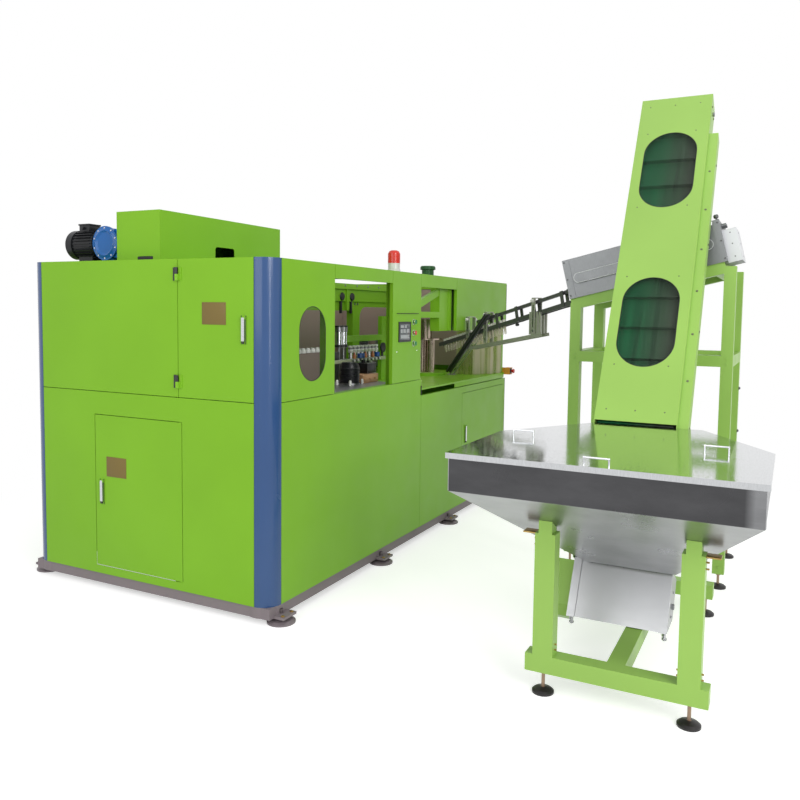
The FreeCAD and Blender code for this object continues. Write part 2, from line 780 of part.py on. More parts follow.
def build_controls():
    x, z = X0 + S.screen_left, S.screen_low
    bezel = span((x, x + S.screen_width), (-S.screen_proud, 0), (z, z + S.screen_height))
    body = span((x + 8.5, x + S.screen_width - 8.5), (0, 24), (z + 8.5, z + S.screen_height - 8.5))
    pocket = span((x + 14, x + S.screen_width - 14), (-S.screen_proud - 1, -S.screen_proud + 2),
                  (z + 14, z + S.screen_height - 14))
    node("touch_screen", cut(fuse(bezel, body), pocket))
    for i, name in enumerate(("button_start", "button_stop", "button_reset")):
        node(name, push_button(S.button_top_z - S.button_pitch * i))
    half = S.stop_box / 2
    bracket = span((X1, X1 + 4), (-50, 60), (S.stop_box_z - half, S.stop_box_z + half))
    box = span((X1 + 4, X1 + 4 + S.stop_box), (-50, -4), (S.stop_box_z - half, S.stop_box_z + half))
    stem_x = X1 + 4 + half
    bore = rod(stem_x, -51, S.stop_box_z, S.button_r + S.pin_clearance, 30, along="y")
    node("stop_box", cut(fuse(bracket, box), bore))
    head = S.stop_button_r
    mushroom = [(0, -34), (head - 4, -34), (head, -30), (head, -20), (S.button_r, -12),
                (S.button_r, 18), (0, 18)]
    node("stop_button", turned(mushroom, stem_x, -48, S.stop_box_z, along="y"))


# ---------------------------------------------------------------------------------------------
# On the roof: top box, blower, beacon and exhaust
# ---------------------------------------------------------------------------------------------
def build_roof_items():
    floor = TOP - 5 + S.roof_sheet
    x0, y0 = X0 + S.duct_start, S.duct_y
    t = 3
    outer = block(x0, y0, floor, S.duct_length, S.duct_width, S.duct_height)
    inner = block(x0 + t, y0 + t, floor - 1,
                  S.duct_length - 2 * t, S.duct_width - 2 * t, S.duct_height - t + 1)
    half = S.port_width / 2
    px = X0 + S.port_x
    wall = (y0 - 1, y0 + 10)
    bend = 20                           # radius of the port's upper corners
    low, high = floor + 30, floor + S.port_height
    port = fuse(span((px - half, px + half), wall, (low, high - bend)),
                span((px - half + bend, px + half - bend), wall, (low, high)),
                rod(px - half + bend, y0 - 1, high - bend, bend, 11, along="y"),
                rod(px + half - bend, y0 - 1, high - bend, bend, 11, along="y"))
    slot = span((x0 - 1, x0 + 10), (y0 + 60, y0 + 170), (floor + 4, floor + 30))
    back = y0 + S.duct_width
    outlet_x = X0 + S.blower_x + 15
    outlet_z = (S.blower_z - 90, S.blower_z + 86)
    outlet = ((outlet_x, outlet_x + 130), (back, S.blower_y), outlet_z)
    outlet_hole = span((outlet_x + 10, outlet_x + 120), (back - 10, back + 10),
                       (outlet_z[0] + 10, outlet_z[1] - 10))
    node("top_duct", cut(outer, inner, port, slot, outlet_hole))
    # blower: round housing facing the doors, its outlet to the box, its foot and the motor's flange
    x, y, z = X0 + S.blower_x, S.blower_y, S.blower_z
    r, deep = S.blower_r, S.blower_depth
    rim, step = 14, 8
    drum = turned([(0, 0), (r, 0), (r, rim), (r - step, rim), (r - step, deep - rim), (r, deep - rim),
                   (r, deep), (0, deep)], x, y, z, along="x")
    middle = x + deep / 2
    seat = span((x + 20, x + deep - 20), (y - 50, y + 50), (floor, z))
    face = rod(middle, y, z, r * 0.7, S.motor_y - y, along="y")
    node("blower", fuse(drum, span(*outlet), seat, face))
    long = S.motor_length
    core, cowl, boss = S.motor_r - 14, S.motor_r - 4, 30
    barrel = turned([(0, 0), (core, 0), (core, long * 0.72), (cowl, long * 0.72), (cowl, long * 0.93),
                     (cowl - 20, long), (boss, long), (boss, long + boss), (0, long + boss)],
                    middle, S.motor_y, z, along="y")
    foot = span((middle - 50, middle + 50), (S.motor_y + 30, S.motor_y + 150), (floor, z - core / 2))
    plates = [fin_plate(middle, S.motor_y + 6, z, index) for index in range(int(S.fin_count.value / 2))]
    node("blower_motor", fuse(barrel, foot, *plates))
    # beacon on the header
    r, top = S.beacon_r, S.beacon_height
    lamp = [(0, 0), (r + 3, 0), (r + 3, 10), (r - 2, 14), (r - 2, 50), (r, 50), (r, top - 20),
            (r - 8, top - 6), (r - 20, top), (0, top)]
    node("beacon", turned(lamp, X0 + S.beacon_x, S.beacon_y, TOP))
    # exhaust pipe with its cap, standing on the ledge-side frame
    r = S.cap_r
    cap = [(0, -5), (r, -5), (r, 70), (r + 14, 74), (r + 14, 94), (r + 6, 104), (0, 104)]
    node("exhaust_cap", turned(cap, X0 + S.cap_x, S.cap_y, TOP))


def fin_plate(x, y, z, index):
    """One diametral plate that gives a pair of motor fins."""
    plate = DOC.addObject("Part::Box", "fin")
    reach = S.motor_r
    bind(plate, "Length", reach * 2)
    bind(plate, "Width", S.motor_length * 0.62)
    bind(plate, "Height", 4)
    angle = 360.0 / S.fin_count.value * index
    cos_a, sin_a = math.cos(math.radians(angle)), math.sin(math.radians(angle))
    plate.Placement = FreeCAD.Placement(FreeCAD.Vector(), FreeCAD.Rotation(FreeCAD.Vector(0, 1, 0), angle))
    # the plate's own middle is carried back to the motor's axis
    bind(plate, "Placement.Base.x", x - reach * cos_a - 2 * sin_a)
    bind(plate, "Placement.Base.y", y)
    bind(plate, "Placement.Base.z", z + reach * sin_a - 2 * cos_a)
    return plate


# ---------------------------------------------------------------------------------------------
# Inside the cabinet: table, portal, valve rail, clamp and stretch carriage
# ---------------------------------------------------------------------------------------------
def bar_between(p, q, width, depth):
    """A square-cut bar whose middle line runs from p to q."""
    bar = DOC.addObject("Part::Box", "strut")
    reach = [b.value - a.value for a, b in zip(p, q)]
    bind(bar, "Length", width)
    bind(bar, "Width", depth)
    bar.Height = math.sqrt(sum(r * r for r in reach))
    rotation = FreeCAD.Rotation(FreeCAD.Vector(0, 0, 1), FreeCAD.Vector(*reach))
    corner = rotation.multVec(FreeCAD.Vector(-as_size(width).value / 2, -as_size(depth).value / 2, 0))
    bar.Placement = FreeCAD.Placement(FreeCAD.Vector(*[a.value for a in p]) + corner, rotation)
    return bar


def build_table():
    top = S.table_z
    plate = span((X0 + S.table_left, X0 + S.table_right), (S.table_front, REAR - S.table_rear_gap),
                 (top - S.table_plate, top))
    mx, my, mr = X0 + S.drive_motor_x, S.drive_motor_y, S.drive_motor_r
    motor = turned([(0, 0), (mr + 8, 0), (mr + 8, 12), (mr, 14), (mr, S.drive_motor_height - 30),
                    (mr * 0.8, S.drive_motor_height), (0, S.drive_motor_height)], mx, my, top)
    gripper = span((mx + mr + 16, X0 + S.table_right), (my - 60, my + 90), (top, top + 62))
    gripper_head = span((mx + mr + 160, mx + mr + 290), (my - 20, my + 90), (top + 61, top + 140))
    node("machine_table", fuse(plate, motor, gripper, gripper_head))
    build_portal()


def build_portal():
    """Portal of the preform chain: two arches under a beam with a proud flange along its top."""
    y0, y1 = S.portal_y, S.portal_y + S.portal_plate
    left, right = X0 + S.portal_left, X1 - S.portal_end_gap
    high, foot = TOP - 5 - S.tube, S.table_z
    middle = (X0 + S.portal_middle, X0 + S.portal_middle + S.portal_middle_width)
    through = (y0 - 1, y1 + 1)
    a, b = left + S.portal_column, middle[0]
    openings = [span((a, b), through, (foot - 1, S.arch_left_top))]
    a, b = middle[1], right - S.portal_column
    r, crown = S.arch_radius, S.arch_right_top
    openings += [
        span((a, b), through, (foot - 1, crown - r)),
        span((a + r, b - r), through, (foot - 1, crown)),
        rod(a + r, y0 - 1, crown - r, r, S.portal_plate + 2, along="y"),
        rod(b - r, y0 - 1, crown - r, r, S.portal_plate + 2, along="y"),
    ]
    plate = cut(span((left, right), (y0, y1), (foot, high)), *openings)
    flange_low = high - S.portal_flange
    beam = span((left, right), (y0 - S.beam_out, y0 + 1), (high - S.beam_drop, flange_low + 1))
    flange = span((left, right), (y0 - S.portal_flange_out, y0 + 1), (flange_low, high))
    ledge_top = S.ledge_z + S.ledge_plate
    shoes = [span((a, b), (y0, y1), (ledge_top, foot + 1))
             for a, b in (middle, (right - S.portal_column, right))]
    hangers = [span((a, a + 38), (y0 - 30, y0 + 1), (S.arch_left_top, flange_low + 1))
               for a in (middle[0] - 146,)]
    portal = fuse(plate, beam, flange, *shoes, *hangers)
    # upright plate behind the valve rail's end, with the green beam that ends at it
    rail_back = S.rail_y + S.rail_width
    px0 = X0 + S.rail_plate_left
    px1 = px0 + S.rail_plate_width
    stand = span((px0, px1), (rail_back, rail_back + S.rail_plate_thick), (ledge_top, S.rail_plate_top))
    arm = span((X0 + S.rail_beam_left, px0 + 1), (rail_back, rail_back + S.rail_plate_thick),
               (S.rail_beam_low, S.rail_beam_low + S.rail_beam_height))
    node("portal_frame", group(portal, fuse(stand, arm)))


def build_valve_rail():
    y0, y1 = S.rail_y, S.rail_y + S.rail_width
    middle = S.rail_y + S.rail_width / 2
    left, right = X0 + S.rail_left, X0 + S.rail_right
    top = S.rail_z + S.rail_height
    pieces = [span((left, right), (y0, y1), (S.rail_z, top))]
    for x in (left + 10, X0 + 1610):
        pieces.append(span((x, x + 30), (y0, y1), (S.table_z, S.rail_z + 1)))
    for i in range(int(S.valve_count.value)):
        x = X0 + S.valve_start + S.valve_pitch * i
        pieces.append(rod(x, middle, top - 1, 11, 50))
        pieces.append(rod(x, middle, top + 48, 17, 38))
        pieces.append(rod(x, y0 - 17, S.rail_z + 14, 12, 18, along="y"))
    # two air cylinders at the rail's door end
    for x in (X0 + 1640, X0 + 1705):
        pieces.append(rod(x, middle, top - 1, 8, 94))
        pieces.append(rod(x, middle, top + 92, 27, 120))
        pieces.append(rod(x, middle, top + 211, 32, 34))
    node("valve_rail", fuse(*pieces))


def build_clamp():
    x0, x1 = X0 + S.clamp_x, X0 + S.clamp_x + S.clamp_width
    y0, y1 = S.clamp_front, S.clamp_front + S.clamp_span
    low, high = S.clamp_low, S.clamp_low + S.clamp_height
    p = S.platen
    pieces = [
        span((x0, x1), (y0, y1), (S.table_z, low)),
        span((x0, x1), (y0, y0 + p), (low, high)),
        span((x0, x1), (y1 - p, y1), (low, high)),
        span((x0 + 100, x1 - 100), (y0, y1), (high, high + 20)),
    ]
    bars = [(x, z) for x in (x0 + 50, x1 - 50) for z in (low + 60, high - 60)]
    pieces += [rod(x, y0 + 1, z, S.tie_bar_r, S.clamp_span - 2, along="y") for x, z in bars]
    middle = y0 + S.clamp_span / 2
    pitch = S.clamp_width / (S.cavity_count + 1) * 0.8
    centre = x0 + S.clamp_width / 2
    stations = [centre + pitch * (i - 1.5) for i in range(int(S.cavity_count.value))]
    guides = [centre - 220, centre + 220]
    pieces += [rod(x, middle, high + 10, 15, 225) for x in guides]
    holes = [rod(x, middle, high - 1, 10, 22) for x in stations]
    node("clamp_frame", cut(fuse(*pieces), *holes))
    for name, sign in (("mould_front", -1), ("mould_rear", 1)):
        face = middle + S.mould_gap / 2 * sign
        mould_y = (face - S.mould_thick, face) if sign < 0 else (face, face + S.mould_thick)
        back = face + S.mould_thick * sign
        platen_y = (back - p, back + 1) if sign < 0 else (back - 1, back + p)
        mould = span((x0 + 100, x1 - 100), mould_y, (low + 20, high - 20))
        platen = span((x0 + 2, x1 - 2), platen_y, (low + 2, high - 2))
        cavities = [rod(x, middle, low + 50, S.cavity_r, S.clamp_height - 150) for x in stations]
        cavities += [rod(x, middle, high - 110, 14, 100) for x in stations]
        bores = [rod(x, platen_y[0] - 1, z, S.tie_bar_r + S.bar_clearance, p + 3, along="y") for x, z in bars]
        node(name, cut(fuse(mould, platen), *cavities, *bores))
    carriage = span((x0 + 100, x1 - 100), (middle - 40, middle + 40), (high + 165, high + 195))
    bores = [rod(x, middle, high + 160, 15 + S.bar_clearance, 40) for x in guides]
    rods = [rod(x, middle, high - 5, 6, 171) for x in stations]
    node("stretch_carriage", fuse(cut(carriage, *bores), *rods))


# ---------------------------------------------------------------------------------------------
# Infeed end: ledge, guard, wheel and oven
# ---------------------------------------------------------------------------------------------
def build_infeed():
    low, high = S.ledge_z, S.ledge_z + S.ledge_plate
    plate = span((LEDGE_LEFT + HALF, X1 - FOLD - 2), (0, S.ledge_depth), (low, high))
    notch = span((X1 - FOLD - S.tube - 1, X1), (FOLD - 1, FOLD + S.tube + 1), (low - 1, high + 1))
    x, y = X1 - S.wheel_end_gap, S.wheel_y
    base = rod(x, y, high - 1, S.wheel_r, 26)
    bore = rod(x, y, low - 1, S.wheel_shaft_r + S.pin_clearance, 50)
    node("infeed_ledge", cut(fuse(cut(plate, notch), base), bore))
    base_top = high + 25
    points = []
    count = int(S.pleats.value)
    for i in range(count * 2):
        angle = math.pi * i / count
        radius = S.drum_r if i % 2 else S.drum_r - 10
        points.append((radius * math.cos(angle), radius * math.sin(angle)))
    drum = pad("XY_Plane", points, S.wheel_z - base_top - 0.3 + 1, x, y, base_top + 0.3)
    wheel = S.wheel_z
    hub = wheel + 185
    plates = turned([(0, wheel), (150, wheel), (150, wheel + 12), (58, wheel + 12), (58, hub), (0, hub)],
                    x, y, 0)
    node("infeed_wheel", fuse(drum, plates, rod(x, y, low, S.wheel_shaft_r, 60)))
    # transparent guard on the ledge, with its posts, bent round the wheel from the infeed end
    t = S.guard_sheet
    tall = S.right_panel_low - S.guard_gap - high
    far, bend, near, tip = X1 - 89, X1 - 259, X1 - 444, X1 - 454
    front = [(far, t), (bend, 50), (near, 160), (tip, 300)]
    back = [(tip + t, 300), (near + t, 160 + t / 2), (bend + t / 2, 50 + t), (far, 2 * t)]
    guard = pad("XY_Plane", front + back, tall, 0, 0, high)
    posts = [span((a, a + 20), (b, b + 20), (high, high + tall + extra))
             for a, b, extra in ((near, 166, 110), (tip, 300, 0), (bend + 1, 57, 60))]
    node("infeed_guard", fuse(guard, *posts))
    # oven: channel of reflectors with lamps between two end brackets
    x0, x1 = X1 - S.oven_end_gap - S.oven_length, X1 - S.oven_end_gap
    y0, y1 = S.oven_y, S.oven_y + S.oven_depth
    z0, z1 = S.oven_low, S.oven_low + S.oven_height
    wall = S.oven_wall
    pieces = [
        span((x0, x1), (y0, y0 + wall), (z0, z1)),
        span((x0, x1), (y1 - wall, y1), (z0, z1)),
        span((x0, x1), (y0, y1), (z0, z0 + wall)),
        span((x0, x1), (y1 - 90, y1), (z1 - wall, z1)),
    ]
    for a in (x0 + 10, x1 - 40):
        pieces.append(span((a, a + 12), (y1 - 90, y1 - 2), (z0 + 2, z1 - 2)))
        for b in (y0 + 30, y1 - 70):
            pieces.append(span((a, a + 30), (b, b + 30), (low, z0 + 1)))
    for i in range(int(S.lamp_rows.value)):
        lamp_z = z0 + S.lamp_pitch * (i + 1)
        pieces.append(rod(x0 + 12, y1 - 60, lamp_z, S.lamp_r, S.oven_length - 40, along="x"))
    node("oven", fuse(*pieces))


# ---------------------------------------------------------------------------------------------
# Preform chute
# ---------------------------------------------------------------------------------------------
ROLL_SHAFT = 12                    # radius of the sorting rollers' shafts


def build_chute():
    half = S.chute_gap / 2
    long = S.chute_length
    start = S.chute_start
    rails = [block(-half - 6, -start, -43, 6, long + start, 33),
             block(half, -start, -43, 6, long + start, 33),
             block(-9, 15, 50, 18, S.guide_end, 26)]
    ties = []
    for v in (60, 359, 560, 800, 939):
        ties.append(block(-half - 12, v, -43, 6, 30, 119))
        ties.append(block(half + 6, v, -43, 6, 30, 119))
        ties.append(block(-half - 12, v, 56, S.chute_gap + 24, 30, 12))
    for x in (-half - 12, half + 6):
        ties.append(block(x, 1182, -43, 6, 30, 33))
    roller = rod(-half - 11, 10, 62, 14, S.chute_gap + 22, along="x")
    sloped = put(fuse(*rails, *ties, roller), turn=((-1, 0, 0), S.chute_slope))
    centre = S.chute_x - S.case_x
    clear = S.tank_clearance
    behind = slope(block(centre - 150, -300, -200, 300, 300 + clear, 500))
    wide = S.roll_r + S.roll_gap / 2 - ROLL_SHAFT - 3
    flange = slope(cut(block(centre - wide, clear, -34, 2 * wide, 8, 114),
                       block(centre - 20, -1, 6, 40, 12, 80)))
    node("chute_rails", fuse(cut(swing(sloped), behind), flange))
    out = half + 12
    plates = []
    for v, low, high in ((350, -264, 8), (915, -348, -102), (1150, -318, -144)):
        for x in (-out - 6, out):
            plates.append(block(x, v, low, 6, 40, high - low))
        plates.append(block(-out - 6, v + 5, high - 1, 2 * out + 12, 30, 6))
    for v in (290, 320, 395):
        for x in (-out - 6, out - 6):
            plates.append(block(x, v, -264, 12, 16, 170))
    for x in (-out - 12, out + 6):
        plates.append(put(block(0, 0, 0, 6, 900, 24), x, 270, -270, turn=((-1, 0, 0), 9.4)))
    brackets = swing(fuse(*plates))
    c, s = cosine(S.chute_yaw), sine(S.chute_yaw)
    side, ahead = 45, 930
    top = (X0 + S.chute_x + c * side + s * ahead, S.chute_top_y - s * side + c * ahead,
           S.chute_top_z - 120)
    foot_z = S.ledge_z + S.ledge_plate
    foot = (X1 - S.wheel_end_gap + 100, S.wheel_y - S.wheel_r - 20, foot_z)
    struts = [bar_between((top[0] + d, top[1] - d, top[2]), (foot[0] + d, foot[1] - d, foot_z + 8), 14, 14)
              for d in (0, 22)]
    shoe = span((foot[0] - 20, foot[0] + 44), (foot[1] - 44, foot[1] + 20), (foot_z, foot_z + 8))
    node("chute_brackets", fuse(brackets, *struts, shoe))


def swing(item):
    """Carry a piece from the chute's own frame to its place over the infeed."""
    turn = ((0, 0, -1), S.chute_yaw)
    return put(group(item), X0 + S.chute_x, S.chute_top_y, S.chute_top_z, turn=turn)


# ---------------------------------------------------------------------------------------------
# Feeder: base, hopper and lid
# ---------------------------------------------------------------------------------------------
def floor_z(x):
    """Height of the hopper's sloped front floor at a distance along the machine."""
    run = S.hopper_mouth_x - 50 - S.hopper_front
    return S.hopper_low - (x - S.hopper_front) * (S.hopper_low - S.hopper_mouth_z) / run


def hopper_outline(grow, level):
    """Six corners of the hopper in plan: at the wall (level 1) or at the mouth (level 0)."""
    front, end, rear = S.hopper_front, S.hopper_side_end, S.hopper_rear
    wide, narrow = S.hopper_half, S.hopper_rear_half
    if not level:
        share = 1 / 60
        front, end = S.hopper_mouth_x - 50, S.hopper_mouth_x - 12
        rear = end + (S.hopper_rear - S.hopper_side_end) * share
        wide = S.elev_width / 2
        narrow = wide - (S.hopper_half - S.hopper_rear_half) * share
    g = grow
    right = [(front - g, -(wide + g)), (end, -(wide + g)), (rear + g, -(narrow + g))]
    left = [(rear + g, narrow + g), (end, wide + g), (front - g, wide + g)]
    return [(X0 + u, v) for u, v in right + left]


def loose_outline(points, y, z):
    """A closed sketch that lies flat at a height, for a loft."""
    sketch = DOC.addObject("Sketcher::SketchObject", "section")
    corners = [FreeCAD.Vector(as_size(u).value, as_size(v).value, 0) for u, v in points]
    count = len(corners)
    for i in range(count):
        sketch.addGeometry(Part.LineSegment(corners[i], corners[(i + 1) % count]), False)
    for i in range(count):
        sketch.addConstraint(Sketcher.Constraint("Coincident", i, 2, (i + 1) % count, 1))
    for i, (u, v) in enumerate(points):
        for kind, number in (("DistanceX", u), ("DistanceY", v)):
            number = as_size(number)
            index = sketch.addConstraint(Sketcher.Constraint(kind, -1, 1, i, 1, number.value))
            sketch.setExpression(f"Constraints[{index}]", number.text)
    return put(sketch, 0, y, z)


def funnel(grow, lift):
    loft = DOC.addObject("Part::Loft", "funnel")
    loft.Sections = [loose_outline(hopper_outline(grow, 0), S.hopper_y, S.hopper_mouth_z + lift),
                     loose_outline(hopper_outline(grow, 1), S.hopper_y, S.hopper_low)]
    loft.Solid = True
    loft.Ruled = True
    return loft


def tilt(item):
    """Carry a piece from the elevator's own frame (z up its slope, x to its back) to its place."""
    turn = ((0, 1, 0), S.elev_angle)
    return put(group(item), X0 + S.elev_foot_x, S.elev_y, S.elev_foot_z, turn=turn)


def elevator_block(grow, low, high):
    half = S.elev_width / 2 + grow
    return tilt(block(-grow, -half, low, S.elev_depth + 2 * grow, 2 * half, high - low))


def build_feeder():
    bar, y, half = S.feeder_bar, S.feeder_y, S.feeder_half
    low, high = S.feeder_bar_low, S.feeder_bar_low + S.feeder_bar
    x, rear = X0 + S.feeder_x, X0 + S.rear_bar_x
    h = bar / 2
    pieces = [
        span((x - h, x + h), (y - half, y + half), (low, high)),
        span((rear - h, rear + h), (y - S.rear_bar_half, y + S.rear_bar_half), (low, high)),
        span((x + h - 1, rear - h + 1), (y - h, y + h), (low, high)),
    ]
    for side in (-1, 1):
        leg_y = y + S.leg_half * side
        pieces.append(span((x - h, x + h), (leg_y - 46, leg_y + 46), (high - 1, S.leg_top)))
        seat = [(x - h, S.leg_top - 1), (x + h, S.leg_top - 1), (x + h, floor_z(S.feeder_x + h) - 1.2),
                (x - h, floor_z(S.feeder_x - h) - 1.2)]
        pieces.append(pad("XZ_Plane", seat, 60, 0, leg_y + 30, 0))
    # the two rear posts end against the back of the elevator
    posts = [span((rear - 35, rear + 35), (S.elev_y + a, S.elev_y + a + 70), (high - 1, 1500))
             for a in (-190, 120)]
    clear = S.tank_clearance
    reach = tilt(block(-400, -S.elev_width / 2 - 200, 0,
                       400 + S.elev_depth + clear, S.elev_width + 400, S.elev_length))
    pieces.append(cut(fuse(*posts), reach))
    foot_ys = [y - S.feeder_foot_half, y + S.feeder_foot_half]
    rear_ys = [y - S.rear_bar_half + 40, y + S.rear_bar_half - 40]
    places = [(x, v) for v in foot_ys] + [(rear, v) for v in rear_ys]
    sockets = [rod(u, v, low - 1, S.pad_stud_r + 1, 30) for u, v in places]
    node("feeder_frame", cut(fuse(*pieces), *sockets))
    pads = [levelling_foot(u, v, low + 22, S.pad_r, S.pad_stud_r) for u, v in places]
    collars = [rod(u, v, low - 12, S.pad_stud_r + 6, 12) for u, v in places]
    for u in (X0 + S.stand_x, X0 + S.stand_far_x):
        for v in (S.stand_left_y, S.stand_right_y):
            pads.append(levelling_foot(u, v, low + 12, S.pad_r, S.pad_stud_r))
            collars.append(rod(u, v, low - 22, S.pad_stud_r + 6, 12))
    node("feeder_feet", group(*[fuse(a, b) for a, b in zip(pads, collars)]))


def build_hopper():
    t = S.hopper_sheet
    wall = S.hopper_high - S.hopper_low
    outer = fuse(funnel(0, 0), pad("XY_Plane", hopper_outline(0, 1), wall, 0, S.hopper_y, S.hopper_low))
    inner = fuse(funnel(-t, t),
                 pad("XY_Plane", hopper_outline(-t, 1), wall + 1, 0, S.hopper_y, S.hopper_low))
    clear = S.tank_clearance
    cheek = tilt(block(CHEEK_X - clear, -S.elev_width / 2 - S.cheek - clear, 100,
                       CHEEK_DEPTH + 2 * clear, S.cheek + 2 * clear, 1400))
    tail_half = S.tail_width / 2 + clear
    tail = tilt(block(-clear, -S.tail_shift - tail_half, 0,
                      S.elev_depth + 2 * clear, 2 * tail_half, S.tail_length + clear))
    node("hopper_tank", cut(outer, inner, elevator_block(clear, 100, 1500), cheek, tail))
    over, lip = S.lid_over, S.lid_lip
    top = S.hopper_high
    plate = pad("XY_Plane", hopper_outline(over, 1), S.lid_sheet, 0, S.hopper_y, top)
    inside = hopper_outline(over - S.lid_sheet, 1)
    skirt = cut(pad("XY_Plane", hopper_outline(over, 1), lip, 0, S.hopper_y, top - lip),
                pad("XY_Plane", inside, lip + 2, 0, S.hopper_y, top - lip - 1))
    way = elevator_block(6, 500, 2000)
    # three bent-rod handles, all along Y
    handles = []
    reach, r = S.handle_pitch / 2, S.handle_r
    rise = top + S.lid_sheet + S.handle_rise
    for u, v in ((S.hopper_front + 18, -5), (302, -408), (302, 477)):
        x, y = X0 + u, S.hopper_y + v
        for d in (-reach, reach):
            handles.append(rod(x, y + d, top + S.lid_sheet - 1, r, S.handle_rise + 1))
        handles.append(rod(x, y - reach - r, rise, r, S.handle_pitch + 2 * r, along="y"))
    node("hopper_lid", fuse(cut(fuse(plate, skirt), way), *handles))


# ---------------------------------------------------------------------------------------------
# Elevator
# ---------------------------------------------------------------------------------------------
CHEEK_X, CHEEK_DEPTH = 20, 90      # the side strip's place and depth across the elevator
TAIL_SHEET = 3


def stadium(x0, x1, half_y, low, high):
    """Upright plate with round ends in the elevator's own frame, from x0 to x1."""
    r = half_y
    return fuse(block(x0, -r, low + r, x1 - x0, r * 2, high - low - r * 2),
                rod(x0, 0, low + r, r, x1 - x0, along="x"), rod(x0, 0, high - r, r, x1 - x0, along="x"))


def build_elevator():
    half, depth, wall = S.elev_width / 2, S.elev_depth, S.elev_wall
    start, end = S.tail_length, S.elev_length
    cover_start = S.elev_cover_start
    mid = depth / 2
    tail_s, head_s = 150, end - 100
    clear = S.pin_clearance
    channel = cut(block(0, -half, start, depth, 2 * half, end - start),
                  block(-1, -half + wall, start - 1,
                        depth - wall + 1, 2 * (half - wall), end - start - wall + 1),
                  block(-1, -half - 1, cover_start, 4, 2 * half + 2, end))
    outlet = block(depth - wall - 1, -half + 30, end - 330, wall + 2, 2 * half - 60, 230)
    bores = rod(mid, -half - 1, head_s, S.roller_shaft_r + clear, 2 * half + 2, along="y")
    cheek = block(CHEEK_X, -half - S.cheek, start, CHEEK_DEPTH, S.cheek, end - S.cheek_short - start)
    body = tilt(fuse(cut(channel, outlet, bores), cheek))
    strut = cut(span((X0 + 1560, X0 + S.stand_x - S.stand_tube / 2), (S.elev_y - 50, S.elev_y + 50),
                     (1880, 1920)),
                tilt(block(-300, -half, 0, 300 + depth - 1, 2 * half, end)))
    r, tall = S.pane_width / 2, S.pane_height
    windows = (cover_start + S.pane_low_gap, end - S.pane_high_gap - tall)
    cover = cut(block(0, -half, cover_start, 3, 2 * half, end - cover_start),
                *[stadium(-1, 4, r, s, s + tall) for s in windows])
    node("elevator_cover", tilt(cover))
    panes = [stadium(3, 6, r + 14, s - 14, s + tall + 14) for s in windows]
    node("elevator_panes", tilt(group(*panes)))
    # tail housing with its tension bolts and the green drive guard beside it
    w, shift = S.tail_width / 2, -S.tail_shift
    floor = S.elev_foot_z + 3
    below = span((X0, X0 + 1000), (S.elev_y - 400, S.elev_y + 400), (-50, floor))
    under = span((X0, X0 + 1000), (S.elev_y - 400, S.elev_y + 400), (-50, floor + TAIL_SHEET))
    outside = fuse(block(0, shift - w, -100, depth, 2 * w, start - clear + 100),
                   *[block(-6, y, -20, 8, 40, start + 16) for y in (shift - w, shift + w - 40)])
    t = TAIL_SHEET
    inside = block(t, shift - w + t, -100, depth - 2 * t, 2 * (w - t), start + 200)
    holes = rod(mid, shift - w - 1, tail_s, S.roller_shaft_r + clear, 2 * w + 2, along="y")
    shell = cut(cut(tilt(outside), below), cut(tilt(inside), under), tilt(holes))
    bolts = [rod(X0 + S.elev_foot_x + 20, S.elev_y + y, floor - 22, 8, 24)
             for y in (shift - w + 18, shift + w - 18)]
    node("tail_housing", fuse(shell, *bolts))
    beside = shift + w
    guard = cut(pad("XZ_Plane", [(30, 60), (80, 10), (160, 10), (160, start - 10), (30, start - 10)],
                    S.guard_width, 0, beside + S.guard_width, 0),
                block(33, beside - 1, 64, 92, S.guard_width - 3, start - 100))
    node("elevator_body", group(fuse(body, strut), tilt(guard)))
    # belt with cleats round the two rollers
    run, gap = head_s - tail_s, 0.3
    inner_r, outer_r = S.roller_r + gap, S.roller_r + gap + S.belt_thick
    by = w + shift - TAIL_SHEET - 4
    def loop(radius, y):
        return fuse(block(mid - radius, -y, tail_s, 2 * radius, 2 * y, run),
                    rod(mid, -y, tail_s, radius, 2 * y, along="y"),
                    rod(mid, -y, head_s, radius, 2 * y, along="y"))
    cleats = []
    pitch = S.cleat_pitch
    for i in range(int((run / pitch).value)):
        s = pitch * (i + 0.5) + tail_s
        for x in (mid - outer_r - S.belt_cleat, mid + outer_r - 1):
            cleats.append(block(x, -by, s, S.belt_cleat + 1, 2 * by, 5))
    node("elevator_belt", tilt(fuse(cut(loop(outer_r, by), loop(inner_r, by + 1)), *cleats)))
    for name, s, y0, y1 in (("tail_roller", tail_s, shift - w - 12, shift + w + 12),
                            ("head_roller", head_s, -half - 12, half + 12)):
        node(name, tilt(fuse(rod(mid, -by, s, S.roller_r, 2 * by, along="y"),
                             rod(mid, y0, s, S.roller_shaft_r, y1 - y0, along="y"))))


# ---------------------------------------------------------------------------------------------
# Unscrambler on its stand
# ---------------------------------------------------------------------------------------------
def slope(item):
    """Carry a piece from the unscrambler's own frame to its place on the stand."""
    turn = ((-1, 0, 0), S.case_slope)
    return put(group(item), X0 + S.case_x, S.case_low_y, S.case_low_z, turn=turn)


